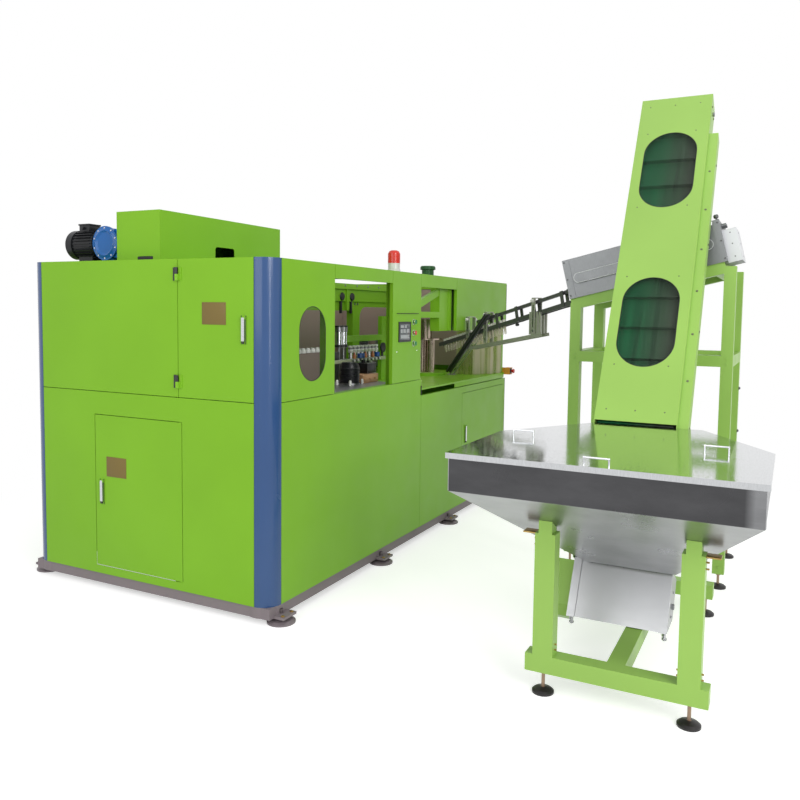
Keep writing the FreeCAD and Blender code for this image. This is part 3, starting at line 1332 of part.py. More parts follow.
def build_unscrambler():
    t, long, high, wide, wall = S.stand_tube, S.case_length, S.case_height, S.case_width, S.case_wall
    h = t / 2
    front, back = S.stand_x - S.case_x - h, S.stand_far_x - S.case_x - h
    beams = slope(fuse(block(front, -long + 20, -t, t, long - 20, t),
                       block(back, -long + 20, -t, t, long - 20, t),
                       block(front + t - 1, -long + 20, -t, back - front - t + 2, t, t)))
    rise = sine(S.case_slope) / cosine(S.case_slope)
    pieces = [beams]
    for x in (X0 + S.stand_x, X0 + S.stand_far_x):
        for y in (S.stand_left_y, S.stand_right_y):
            top = S.case_low_z + (S.case_low_y - y) * rise - 35
            pieces.append(cut(span((x - h, x + h), (y - h, y + h), (S.feeder_bar_low - 10, top)),
                              rod(x, y, S.feeder_bar_low - 11, S.pad_stud_r + 1, 30)))
        pieces.append(span((x - h, x + h), (S.stand_right_y + h - 1, S.stand_left_y - h + 1),
                           (S.stand_mid_z, S.stand_mid_z + t)))
    for y in (S.stand_left_y, S.stand_right_y):
        pieces.append(span((X0 + S.stand_x + h - 1, X0 + S.stand_far_x - h + 1), (y - h, y + h),
                           (S.stand_mid_z, S.stand_mid_z + t)))
    node("unscrambler_stand", fuse(*pieces))
    # open-topped case; its near wall is let out round the elevator
    centre = S.chute_x - S.case_x
    axes = [centre - S.roll_r - S.roll_gap / 2, centre + S.roll_r + S.roll_gap / 2]
    roll_z = S.roll_z
    box = cut(block(0, -long, 0, wide, long, high),
              block(wall, -long + wall, wall, wide - 2 * wall, long - 2 * wall, high))
    shaft = ROLL_SHAFT
    tools = [rod(x, -long - 1, roll_z, shaft + S.pin_clearance, long + 2, along="y") for x in axes]
    outlet = block(centre - 20, -long + 60, -1, 40, long, 100)
    ridge, ridge_z, out = 33, 125, 16   # long raised ridge with round ends on the near wall
    bulge = fuse(block(-out, -long + 90, ridge_z - ridge, out + 1, long - 180, 2 * ridge),
                 rod(-out, -90, ridge_z, ridge, out + 1, along="x"),
                 rod(-out, -long + 90, ridge_z, ridge, out + 1, along="x"))
    straps = [block(-3, y, 0, 4, 45, high) for y in (-45, -long)]
    drive = cut(block(30, -long - 80, -10, 330, 81, 200), block(34, -long - 76, -6, 322, 75, 192))
    drive = cut(drive, block(34, -long - 4, -6, 322, 6, 190))
    blocks = [rod(x, -long - 30, high - 30, 12, 31, along="y") for x in (120, 190)]
    whole = fuse(cut(box, outlet), bulge, *straps, drive, *blocks)
    room = 6
    top = S.elev_length + 100
    clearance = fuse(elevator_block(room, 500, top),
                     tilt(block(CHEEK_X - room, -S.elev_width / 2 - S.cheek - room, 500,
                                CHEEK_DEPTH + 2 * room, S.cheek + 2 * room, top)))
    node("unscrambler_case", cut(slope(cut(whole, *tools)), clearance))
    for name, x in (("roller_front", axes[0]), ("roller_rear", axes[1])):
        node(name, slope(fuse(rod(x, -long + 20, roll_z, S.roll_r, long - 40, along="y"),
                              rod(x, -long - 30, roll_z, shaft, long + 38, along="y"))))


def main():
    build_base()
    build_posts()
    build_skeleton()
    build_panels()
    build_doors()
    build_controls()
    build_roof_items()
    build_table()
    build_valve_rail()
    build_clamp()
    build_infeed()
    build_chute()
    build_feeder()
    build_hopper()
    build_elevator()
    build_unscrambler()
    DOC.recompute()


def write():
    faults = [o.Name for o in DOC.Objects if "Invalid" in o.State or "Error" in o.State]
    for name, item in NODES.items():
        if item.Shape.isNull() or not item.Shape.isValid():
            faults.append(name)
    if faults:
        print("failed:", faults)
        sys.exit(1)
    os.makedirs("parts", exist_ok=True)
    for name, item in NODES.items():
        item.Shape.exportStep(f"parts/{name}.step")
    print(len(NODES), "nodes written")


main()
write()
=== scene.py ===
"""Blow moulding machine with its preform feeder, dressed for a studio picture.

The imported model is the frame: +X runs along the machine, +Y to its rear, +Z up, in metres. Every piece made
here is fitted to that frame and rides on the part that carries it.
"""
import math

import bmesh
import bpy
from mathutils import Matrix, Vector


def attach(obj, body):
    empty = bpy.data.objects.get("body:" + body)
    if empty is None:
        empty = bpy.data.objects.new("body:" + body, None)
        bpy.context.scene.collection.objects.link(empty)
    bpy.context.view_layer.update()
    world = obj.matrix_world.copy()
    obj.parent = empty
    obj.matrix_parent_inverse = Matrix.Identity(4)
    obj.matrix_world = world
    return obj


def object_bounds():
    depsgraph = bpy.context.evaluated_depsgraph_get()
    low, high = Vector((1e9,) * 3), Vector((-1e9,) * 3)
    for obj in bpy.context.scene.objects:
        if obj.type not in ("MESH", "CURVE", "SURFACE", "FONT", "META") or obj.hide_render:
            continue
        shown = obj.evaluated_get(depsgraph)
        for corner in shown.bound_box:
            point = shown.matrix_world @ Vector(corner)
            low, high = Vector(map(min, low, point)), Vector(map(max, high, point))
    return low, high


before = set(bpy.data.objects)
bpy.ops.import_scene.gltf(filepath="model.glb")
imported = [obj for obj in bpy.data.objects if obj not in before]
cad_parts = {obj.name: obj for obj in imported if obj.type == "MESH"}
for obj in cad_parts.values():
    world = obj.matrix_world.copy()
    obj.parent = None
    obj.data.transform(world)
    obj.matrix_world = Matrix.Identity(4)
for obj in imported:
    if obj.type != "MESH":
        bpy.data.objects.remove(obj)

bl_info = {
    "name": "Blow moulding machine",
    "version": (1, 0, 0),
    "blender": (4, 5, 0),
    "location": "View3D > Sidebar > Machine",
    "description": "Finishes and small fittings of a blow moulding machine and its preform feeder",
    "category": "Object",
}

CAD_LOW, CAD_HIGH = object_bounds()
ROOT = "machine"
FLOOR_GLOW = 0.52                                   # lifts the lit floor to near white for the camera


# ---------------------------------------------------------------------------------------------
# Colours, sizes and frames
# ---------------------------------------------------------------------------------------------
def srgb(red, green, blue):
    """A colour as it looks on screen, 0 to 255, as the linear values that shaders take."""
    def linear(channel):
        share = channel / 255
        return share / 12.92 if share <= 0.04045 else ((share + 0.055) / 1.055) ** 2.4
    return (linear(red), linear(green), linear(blue))


def colour_prop(name, description, red, green, blue):
    return bpy.props.FloatVectorProperty(name=name, description=description, default=srgb(red, green, blue),
                                         subtype="COLOR", size=3, min=0.0, max=1.0)


def length_prop(name, description, value):
    return bpy.props.FloatProperty(name=name, description=description, default=value, subtype="DISTANCE",
                                   unit="LENGTH", min=0.0)


class MachineColours(bpy.types.PropertyGroup):
    """Colours of the machine's paints and plastics."""
    cabinet: colour_prop("Cabinet paint", "Paint on the cabinet's panels and frames", 126, 182, 40)
    feeder: colour_prop("Feeder paint", "Paint on the elevator, stand and hopper frame", 152, 192, 94)
    post: colour_prop("Post paint", "Paint on the round corner posts", 45, 78, 126)
    base: colour_prop("Base paint", "Paint on the base frame", 132, 122, 126)
    motor: colour_prop("Blower paint", "Paint on the blower's bell", 22, 100, 176)
    belt: colour_prop("Belt", "Elevator belt", 16, 92, 54)
    orange: colour_prop("Stop box", "Box of the emergency stop", 236, 160, 62)
    red: colour_prop("Red plastic", "Stop button and beacon", 206, 48, 34)
    brown: colour_prop("Door plates", "Bare plates on the end doors", 122, 104, 58)
    case: colour_prop("Unscrambler", "Sheet metal of the unscrambler", 128, 130, 132)


class MachineSizes(bpy.types.PropertyGroup):
    """Sizes of the small fittings."""
    screw_radius: length_prop("Screw radius", "Head of the panel screws", 0.0045)
    bolt_radius: length_prop("Bolt radius", "Head of the frame bolts", 0.008)
    preform_radius: length_prop("Preform radius", "Body of a preform in the chute", 0.011)
    preform_length: length_prop("Preform length", "Body of a preform below its neck ring", 0.095)


def colours():
    return bpy.context.scene.machine_colours


def sizes():
    return bpy.context.scene.machine_sizes


# Frames of the sloping parts, as the model holds them
DOOR_END = -0.105                                   # outer face of the cabinet's door end, along X
CABINET_LENGTH = 3.744
INFEED_END = DOOR_END + CABINET_LENGTH
ELEVATOR = (Matrix.Translation((DOOR_END + 0.4785, -1.706, 0.187)) @ Matrix.Rotation(math.radians(30), 4, "Y"))
CASE = (Matrix.Translation((DOOR_END + 1.815, -1.119, 1.818)) @ Matrix.Rotation(math.radians(-13.8), 4, "X"))
CHUTE_LEVEL = (Matrix.Translation((DOOR_END + 2.150, -1.050, 1.825))
               @ Matrix.Rotation(math.radians(-30.4), 4, "Z"))
CHUTE = CHUTE_LEVEL @ Matrix.Rotation(math.radians(-12.9), 4, "X")


# ---------------------------------------------------------------------------------------------
# Modelling
# ---------------------------------------------------------------------------------------------
class Shape:
    """A mesh under construction: closed solids added one by one, each placed in a frame of its own."""

    def __init__(self, place=None):
        self.mesh = bmesh.new()
        self.place = place or Matrix.Identity(4)

    def settle(self, verts, matrix):
        bmesh.ops.transform(self.mesh, matrix=self.place @ matrix, verts=verts)
        return verts

    def round_edges(self, verts, width, segments):
        edges = {edge for vert in verts for edge in vert.link_edges}
        sharp = [edge for edge in edges if edge.is_manifold and edge.calc_face_angle(0) > 0.6]
        bmesh.ops.bevel(self.mesh, geom=sharp, offset=width, offset_type="OFFSET", segments=segments,
                        profile=0.5, affect="EDGES", material=-1, clamp_overlap=True)

    def box(self, low, high, bevel=0.0, segments=2):
        low, high = Vector(low), Vector(high)
        verts = bmesh.ops.create_cube(self.mesh, size=1.0)["verts"]
        size = high - low
        self.settle(verts, Matrix.Translation((low + high) / 2) @ Matrix.Diagonal((*size, 1.0)))
        if bevel:
            self.round_edges(verts, bevel, segments)

    def rod(self, start, end, radius, end_radius=None, segments=20, bevel=0.0):
        start, end = Vector(start), Vector(end)
        along = end - start
        made = bmesh.ops.create_cone(self.mesh, cap_ends=True, segments=segments, radius1=radius,
                                     radius2=radius if end_radius is None else end_radius, depth=along.length)
        turn = along.to_track_quat("Z", "Y").to_matrix().to_4x4()
        self.settle(made["verts"], Matrix.Translation((start + end) / 2) @ turn)
        if bevel:
            rims = [edge for vert in made["verts"] for edge in vert.link_edges
                    if edge.is_manifold and edge.calc_face_angle(0) > 0.9]
            bmesh.ops.bevel(self.mesh, geom=list(set(rims)), offset=bevel, offset_type="OFFSET", segments=2,
                            profile=0.5, affect="EDGES", material=-1, clamp_overlap=True)

    def turned(self, profile, origin, axis=(0, 0, 1), segments=32):
        """A profile of (radius, height) corners spun a full turn about an axis."""
        verts = [self.mesh.verts.new((radius, 0, height)) for radius, height in profile]
        edges = [self.mesh.edges.new(pair) for pair in zip(verts, verts[1:])]
        before = set(self.mesh.verts) - set(verts)
        bmesh.ops.spin(self.mesh, geom=verts + edges, cent=(0, 0, 0), axis=(0, 0, 1), angle=math.tau,
                       steps=segments, use_merge=True, use_duplicate=False)
        made = [vert for vert in self.mesh.verts if vert not in before]
        bmesh.ops.remove_doubles(self.mesh, verts=made, dist=1e-6)
        made = [vert for vert in self.mesh.verts if vert not in before]
        faces = list({face for vert in made for face in vert.link_faces})
        bmesh.ops.recalc_face_normals(self.mesh, faces=faces)
        turn = Vector(axis).to_track_quat("Z", "Y").to_matrix().to_4x4()
        self.settle(made, Matrix.Translation(origin) @ turn)

    def plate(self, corners, push, bevel=0.0):
        """A flat outline of corners pushed out by a vector."""
        face = self.mesh.faces.new([self.mesh.verts.new(corner) for corner in corners])
        made = bmesh.ops.extrude_face_region(self.mesh, geom=[face])["geom"]
        moved = [item for item in made if isinstance(item, bmesh.types.BMVert)]
        bmesh.ops.translate(self.mesh, vec=push, verts=moved)
        verts = moved + [vert for vert in face.verts]
        faces = list({item for vert in verts for item in vert.link_faces})
        bmesh.ops.recalc_face_normals(self.mesh, faces=faces)
        self.settle(verts, Matrix.Identity(4))
        if bevel:
            self.round_edges(verts, bevel, 2)

    def ring(self, outer, inner, push):
        """A flat band between two outlines with as many corners each, pushed out by a vector."""
        loops = []
        for corners in (outer, inner):
            verts = [self.mesh.verts.new(corner) for corner in corners]
            loops += [self.mesh.edges.new((verts[i - 1], verts[i])) for i in range(len(verts))]
        faces = bmesh.ops.bridge_loops(self.mesh, edges=loops)["faces"]
        made = bmesh.ops.extrude_face_region(self.mesh, geom=faces, use_keep_orig=True)["geom"]
        moved = [item for item in made if isinstance(item, bmesh.types.BMVert)]
        bmesh.ops.translate(self.mesh, vec=push, verts=moved)
        verts = list({vert for item in faces for vert in item.verts} | set(moved))
        bmesh.ops.recalc_face_normals(self.mesh, faces=list({f for vert in verts for f in vert.link_faces}))
        self.settle(verts, Matrix.Identity(4))

    def bolt(self, at, axis, radius, height=None):
        """Hexagon head on its washer."""
        at, axis = Vector(at), Vector(axis).normalized()
        height = radius * 0.7 if height is None else height
        self.rod(at, at + axis * height * 0.25, radius * 1.35, segments=16)
        self.rod(at + axis * height * 0.25, at + axis * height, radius, segments=6)

    def screw(self, at, axis, radius):
        """Domed screw head."""
        at, axis = Vector(at), Vector(axis).normalized()
        self.rod(at, at + axis * radius * 0.55, radius, end_radius=radius * 0.55, segments=12)

    def finish(self, name, material, body=ROOT, slot=None, smooth=0.6):
        """Turn the mesh into a piece that rides on a body."""
        data = bpy.data.meshes.new(name)
        for face in self.mesh.faces:
            face.smooth = True
        for edge in self.mesh.edges:
            edge.smooth = edge.is_manifold and edge.calc_face_angle(0) < smooth
        self.mesh.to_mesh(data)
        self.mesh.free()
        data.materials.append(material)
        piece = bpy.data.objects.new(name, data)
        bpy.context.scene.collection.objects.link(piece)
        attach(piece, body)
        return piece


# ---------------------------------------------------------------------------------------------
# Finishes
# ---------------------------------------------------------------------------------------------
class Finish:
    """A node material under construction, with a Principled shader and Object coordinates."""

    def __init__(self, name, colour, roughness=0.5, metallic=0.0):
        self.material = bpy.data.materials.new(name)
        self.material.use_nodes = True
        self.nodes = self.material.node_tree.nodes
        self.links = self.material.node_tree.links
        self.shader = self.nodes["Principled BSDF"]
        self.colour = (*colour, 1.0)
        self.shader.inputs["Base Color"].default_value = self.colour
        self.shader.inputs["Roughness"].default_value = roughness
        self.shader.inputs["Metallic"].default_value = metallic
        self.coords = self.nodes.new("ShaderNodeTexCoord").outputs["Object"]
        self.height = None

    def mapped(self, scale):
        mapping = self.nodes.new("ShaderNodeMapping")
        mapping.inputs["Scale"].default_value = scale
        self.links.new(self.coords, mapping.inputs["Vector"])
        return mapping.outputs["Vector"]

    def noise(self, scale, detail=2.0, stretch=None, rough=0.5):
        node = self.nodes.new("ShaderNodeTexNoise")
        node.inputs["Scale"].default_value = scale
        node.inputs["Detail"].default_value = detail
        node.inputs["Roughness"].default_value = rough
        self.links.new(self.mapped(stretch) if stretch else self.coords, node.inputs["Vector"])
        return node.outputs["Fac"]

    def spread(self, value, low, high, from_low=0.3, from_high=0.7):
        node = self.nodes.new("ShaderNodeMapRange")
        node.inputs["From Min"].default_value = from_low
        node.inputs["From Max"].default_value = from_high
        node.inputs["To Min"].default_value = low
        node.inputs["To Max"].default_value = high
        self.links.new(value, node.inputs["Value"])
        return node.outputs["Result"]

    def tint(self, value, low, high):
        """Vary the colour between two multiples of itself."""
        ramp = self.nodes.new("ShaderNodeValToRGB")
        ramp.color_ramp.elements[0].position = 0.3
        ramp.color_ramp.elements[1].position = 0.7
        for element, share in zip(ramp.color_ramp.elements, (low, high)):
            element.color = (*[min(1.0, channel * share) for channel in self.colour[:3]], 1.0)
        self.links.new(value, ramp.inputs["Fac"])
        self.links.new(ramp.outputs["Color"], self.shader.inputs["Base Color"])
        return ramp.outputs["Color"]

    def roughen(self, value, low, high):
        self.links.new(self.spread(value, low, high), self.shader.inputs["Roughness"])

    def bump(self, value, strength, distance):
        node = self.nodes.new("ShaderNodeBump")
        node.inputs["Strength"].default_value = strength
        node.inputs["Distance"].default_value = distance
        self.links.new(value, node.inputs["Height"])
        if self.height:
            self.links.new(self.height, node.inputs["Normal"])
        self.height = node.outputs["Normal"]
        self.links.new(self.height, self.shader.inputs["Normal"])

    def set(self, **sockets):
        for name, value in sockets.items():
            self.shader.inputs[name.replace("_", " ")].default_value = value
        return self


def paint(name, colour, roughness=0.36, coat=0.0):
    """Stove enamel: faint cloudiness, an orange-peel skin and a clear gloss."""
    finish = Finish(name, colour, roughness)
    finish.tint(finish.noise(1.6, 3), 0.955, 1.035)
    finish.roughen(finish.noise(5, 3), roughness - 0.05, roughness + 0.07)
    finish.bump(finish.noise(420, 1), 0.05, 0.0004)
    finish.set(Coat_Weight=coat, Coat_Roughness=0.12, Specular_IOR_Level=0.22)
    return finish.material


def steel(name, colour, roughness=0.32, grain=(1, 1, 40), metallic=1.0):
    """Bright metal with a brushed grain along one axis."""
    finish = Finish(name, colour, roughness, metallic)
    grain_noise = finish.noise(38, 4, stretch=grain, rough=0.6)
    finish.tint(grain_noise, 0.88, 1.06)
    finish.roughen(finish.noise(24, 3, stretch=grain), roughness - 0.07, roughness + 0.09)
    finish.bump(grain_noise, 0.06, 0.0003)
    return finish.material


def sheet(name, colour, roughness=0.34, brush=(1, 1, 1)):
    """Flat brushed sheet: soft clouds, fine brushing and an even skin."""
    finish = Finish(name, colour, roughness, 1.0)
    clouds = finish.noise(2.6, 3)
    brushing = finish.noise(90, 2, stretch=brush, rough=0.5)
    mix = finish.nodes.new("ShaderNodeMath")
    mix.operation = "MULTIPLY"
    finish.links.new(clouds, mix.inputs[0])
    finish.links.new(finish.spread(brushing, 0.94, 1.06), mix.inputs[1])
    finish.tint(mix.outputs[0], 0.84, 1.0)
    finish.roughen(brushing, roughness - 0.04, roughness + 0.06)
    return finish.material


def plastic(name, colour, roughness=0.4, grain=600):
    """Moulded plastic or rubber with a fine skin."""
    finish = Finish(name, colour, roughness)
    finish.tint(finish.noise(9, 3), 0.93, 1.05)
    finish.roughen(finish.noise(30, 2), roughness - 0.06, roughness + 0.08)
    finish.bump(finish.noise(grain, 1), 0.08, 0.0003)
    return finish.material


def clear(name, colour, alpha):
    """Clear sheet: mostly see-through, with a polished skin and a faint tint."""
    finish = Finish(name, colour, 0.06)
    finish.roughen(finish.noise(3, 3), 0.04, 0.1)
    finish.set(Alpha=alpha, IOR=1.49)
    return finish.material


def belt_finish(name, colour):
    """Rubber belt: long bands along its run, green on one side, with a painted reflection that turns it greyer on the
    other.
    """
    finish = Finish(name, colour, 0.55)
    split = finish.nodes.new("ShaderNodeSeparateXYZ")
    finish.links.new(finish.coords, split.inputs["Vector"])
    ramp = finish.nodes.new("ShaderNodeValToRGB")
    finish.links.new(finish.spread(split.outputs["Y"], 1.0, 0.0, -1.84, -1.62), ramp.inputs["Fac"])
    # painted reflection: towards -Y the belt turns to this grey, which stands for what the pane in front of it mirrors
    for element, shade in zip(ramp.color_ramp.elements, (colour, srgb(66, 74, 62))):
        element.color = (*shade, 1.0)
    bands = finish.noise(9, 3, stretch=(0.12, 3.2, 0.12), rough=0.65)
    shaded(finish, ramp.outputs["Color"], bands, 0.42, 1.0)
    finish.bump(finish.noise(500, 1), 0.1, 0.0003)
    finish.set(Specular_IOR_Level=0.12)
    return finish.material


def guard_finish(name, colour, pale):
    """Tinted clear sheet with pale upright streaks."""
    finish = Finish(name, colour, 0.12)
    streaks = finish.noise(14, 3, stretch=(1, 1, 0.02), rough=0.7)
    ramp = finish.nodes.new("ShaderNodeValToRGB")
    ramp.color_ramp.elements[0].position, ramp.color_ramp.elements[1].position = 0.42, 0.58
    for element, shade in zip(ramp.color_ramp.elements, (colour, pale)):
        element.color = (*shade, 1.0)
    finish.links.new(streaks, ramp.inputs["Fac"])
    finish.links.new(ramp.outputs["Color"], finish.shader.inputs["Base Color"])
    finish.links.new(finish.spread(streaks, 0.46, 0.74, 0.42, 0.58), finish.shader.inputs["Alpha"])
    return finish.material


def by_height(finish, level, blend, low, high):
    """Mix two colours over a change of height."""
    split = finish.nodes.new("ShaderNodeSeparateXYZ")
    finish.links.new(finish.coords, split.inputs["Vector"])
    ramp = finish.nodes.new("ShaderNodeValToRGB")
    finish.links.new(finish.spread(split.outputs["Z"], 0.0, 1.0, level - blend, level + blend), ramp.inputs["Fac"])
    for element, colour in zip(ramp.color_ramp.elements, (low, high)):
        element.color = (*colour, 1.0)
    return ramp.outputs["Color"], split.outputs["Z"]


def shaded(finish, colour, grain, low, high):
    """Multiply a colour by a grain between two levels and give it to the shader."""
    mix = finish.nodes.new("ShaderNodeMix")
    mix.data_type = "RGBA"
    mix.blend_type = "MULTIPLY"
    mix.inputs["Factor"].default_value = 1.0
    finish.links.new(colour, mix.inputs["A"])
    ramp = finish.nodes.new("ShaderNodeValToRGB")
    ramp.color_ramp.elements[0].color = (low, low, low, 1)
    ramp.color_ramp.elements[1].color = (high, high, high, 1)
    ramp.color_ramp.elements[0].position = 0.3
    ramp.color_ramp.elements[1].position = 0.7
    finish.links.new(grain, ramp.inputs["Fac"])
    finish.links.new(ramp.outputs["Color"], mix.inputs["B"])
    finish.links.new(mix.outputs["Result"], finish.shader.inputs["Base Color"])


def tank_finish(name):
    """Hopper sheet: a darker brushed band above, brighter rolled slopes below, and painted light that makes the band's
    end face lighter than its front.
    """
    finish = Finish(name, srgb(170, 171, 173), 0.3, 1.0)
    colour, height = by_height(finish, 0.945, 0.0015, srgb(168, 169, 171), srgb(88, 88, 90))
    split = finish.nodes.new("ShaderNodeSeparateXYZ")
    finish.links.new(finish.coords, split.inputs["Vector"])
    # painted light: from Y -2.372 outwards, the band's end face is given a lighter grey as if lit
    end = finish.spread(split.outputs["Y"], 1.0, 0.0, -2.372, -2.335)
    band = finish.nodes.new("ShaderNodeMath")
    band.operation = "MULTIPLY"
    finish.links.new(finish.spread(height, 0.0, 1.0, 0.944, 0.946), band.inputs[0])
    finish.links.new(end, band.inputs[1])
    painted_lit_end = finish.nodes.new("ShaderNodeMix")
    painted_lit_end.data_type = "RGBA"
    painted_lit_end.inputs["B"].default_value = (*srgb(150, 151, 153), 1.0)
    finish.links.new(band.outputs[0], painted_lit_end.inputs["Factor"])
    finish.links.new(colour, painted_lit_end.inputs["A"])
    wiped = finish.noise(3.2, 5, stretch=(1, 1, 3), rough=0.62)
    shaded(finish, painted_lit_end.outputs["Result"], wiped, 0.72, 1.0)
    finish.roughen(finish.noise(4, 3), 0.26, 0.36)
    return finish.material


def foot_finish(name, sole, stud):
    """Levelling feet: moulded sole below, plated stud above."""
    finish = Finish(name, sole, 0.4)
    colour, height = by_height(finish, 0.0268, 0.0004, sole, stud)
    shaded(finish, colour, finish.noise(40, 3), 0.85, 1.0)
    finish.links.new(finish.spread(height, 0.0, 0.85, 0.0264, 0.0272), finish.shader.inputs["Metallic"])
    finish.roughen(finish.noise(60, 2), 0.32, 0.48)
    return finish.material


LIBRARY = {}


def stock(name):
    """A finish by its name, made once."""
    if name not in LIBRARY:
        c = colours()
        makers = {
            "cabinet_paint": lambda: paint(name, c.cabinet),
            "feeder_paint": lambda: paint(name, c.feeder),
            "post_paint": lambda: paint(name, c.post, 0.22, 0.5),
            "base_paint": lambda: paint(name, c.base, 0.5, 0.05),
            "motor_paint": lambda: paint(name, c.motor, 0.3, 0.4),
            "black_paint": lambda: paint(name, srgb(30, 31, 34), 0.4, 0.2),
            "black_plastic": lambda: plastic(name, srgb(34, 34, 37), 0.42),
            # dark rubber, also used for the dark strips of painted shade in seams, gaps, slots and round the elevator's
            # panes
            "dark_rubber_and_painted_shade": lambda: plastic(name, srgb(28, 28, 30), 0.65, 300),
            "brushed": lambda: steel(name, srgb(172, 174, 177), 0.34, (40, 1, 1)),
            "machined": lambda: steel(name, srgb(150, 151, 153), 0.38, (30, 1, 1)),
            "strap_metal": lambda: steel(name, srgb(178, 177, 168), 0.42, (1, 1, 12), 0.45),
            "wheel_metal": lambda: steel(name, srgb(176, 160, 146), 0.2, (24, 24, 1)),
            "rail_metal": lambda: steel(name, srgb(92, 92, 94), 0.42, (1, 30, 1), 0.45),
            "roller_metal": lambda: steel(name, srgb(206, 208, 210), 0.28, (1, 1, 60)),
            "aluminium": lambda: steel(name, srgb(188, 190, 194), 0.36, (1, 1, 20)),
            "case_grey": lambda: steel(name, c.case, 0.42, (1, 20, 1), 0.7),
            "brass": lambda: steel(name, srgb(180, 150, 90), 0.34, (1, 1, 20)),
            "copper": lambda: steel(name, srgb(196, 128, 88), 0.4, (20, 1, 1), 0.6),
            "block_brass": lambda: steel(name, srgb(206, 160, 116), 0.42, (20, 1, 1), 0.5),
            "pane": lambda: clear(name, srgb(96, 108, 98), 0.05),
            "guard": lambda: guard_finish(name, srgb(150, 170, 66), srgb(196, 190, 152)),
            "belt": lambda: belt_finish(name, c.belt),
            "orange": lambda: plastic(name, c.orange, 0.35),
            "red": lambda: plastic(name, c.red, 0.14),
            "green_button": lambda: plastic(name, srgb(30, 128, 58), 0.25),
            "brown_plate": lambda: paint(name, c.brown, 0.5, 0.05),
            "white_plastic": lambda: plastic(name, srgb(226, 226, 220), 0.35),
            "dark_green": lambda: paint(name, srgb(38, 84, 44), 0.45, 0.1),
            "blue_plastic": lambda: plastic(name, srgb(30, 84, 168), 0.3),
            "chrome": lambda: steel(name, srgb(214, 216, 219), 0.14, (1, 1, 12)),
            "bright_sheet": lambda: sheet(name, srgb(178, 179, 181), 0.36, (4, 0.15, 4)),
            # white paint of the drive cover, also used for the painted highlight on the unscrambler's ridge
            "drive_white_and_highlight": lambda: paint(name, srgb(214, 216, 218), 0.35),
            "screw_dull": lambda: steel(name, srgb(116, 122, 92), 0.45, (1, 1, 8), 0.6),
            "display": lambda: plastic(name, srgb(96, 100, 104), 0.12),
            "display_light": lambda: plastic(name, srgb(168, 172, 174), 0.2),
            "beacon_pale": lambda: plastic(name, srgb(206, 208, 200), 0.35),
            "rail_beige": lambda: paint(name, srgb(170, 180, 146), 0.5, 0.0),
            # pale green of painted light, for the lit jamb of the portal's arch
            "lit_edge_paint": lambda: paint(name, srgb(176, 190, 168), 0.5, 0.0),
            "lining": lambda: paint(name, srgb(158, 140, 128), 0.55, 0.0),
            "apron_brown": lambda: plastic(name, srgb(122, 106, 96), 0.6, 200),
            "preform_neck": lambda: clear(name, srgb(238, 236, 226), 0.85),
            "preform": lambda: clear(name, srgb(214, 206, 182), 0.42),
            "lid_mirror": lambda: steel(name, srgb(208, 210, 212), 0.09, (1, 14, 1)),
            "tank_sheet": lambda: tank_finish(name),
            "machine_feet": lambda: foot_finish(name, srgb(124, 114, 118), srgb(120, 112, 114)),
            "feeder_feet": lambda: foot_finish(name, srgb(34, 30, 32), srgb(160, 136, 116)),
        }
        LIBRARY[name] = makers[name]()
    return LIBRARY[name]


NODE_FINISHES = {
    "cabinet_paint": ("end_panels front_panels_upper front_panels_lower rear_panels infeed_end_panel end_door_upper "
                      "end_door_lower side_door control_panel top_duct roof_panel portal_frame front_frame "
                      "cabinet_frame bed_tubes infeed_ledge"),
    "feeder_paint": "elevator_body elevator_cover feeder_frame unscrambler_stand",
    "post_paint": "corner_posts",
    "motor_paint": "blower",
    "black_paint": "blower_motor",
    "base_paint": "base_frame",
    "machine_feet": "machine_feet",
    "feeder_feet": "feeder_feet",
    "black_plastic": "door_hinges touch_screen",
    "chrome": "latch_lever_upper latch_lever_lower latch_lever_side",
    "pane": "window_pane elevator_panes",
    "guard": "infeed_guard",
    "green_button": "button_start button_reset",
    "red": "button_stop beacon stop_button",
    "orange": "stop_box",
    "dark_green": "exhaust_cap",
    "machined": "machine_table clamp_frame stretch_carriage valve_rail oven head_roller tail_roller",
    "strap_metal": "chute_brackets",
    "wheel_metal": "infeed_wheel",
    "aluminium": "mould_front mould_rear",
    "rail_metal": "chute_rails",
    "lid_mirror": "hopper_lid",
    "tank_sheet": "hopper_tank",
    "bright_sheet": "tail_housing",
    "case_grey": "unscrambler_case",
    "belt": "elevator_belt",
    "roller_metal": "roller_front roller_rear",
}


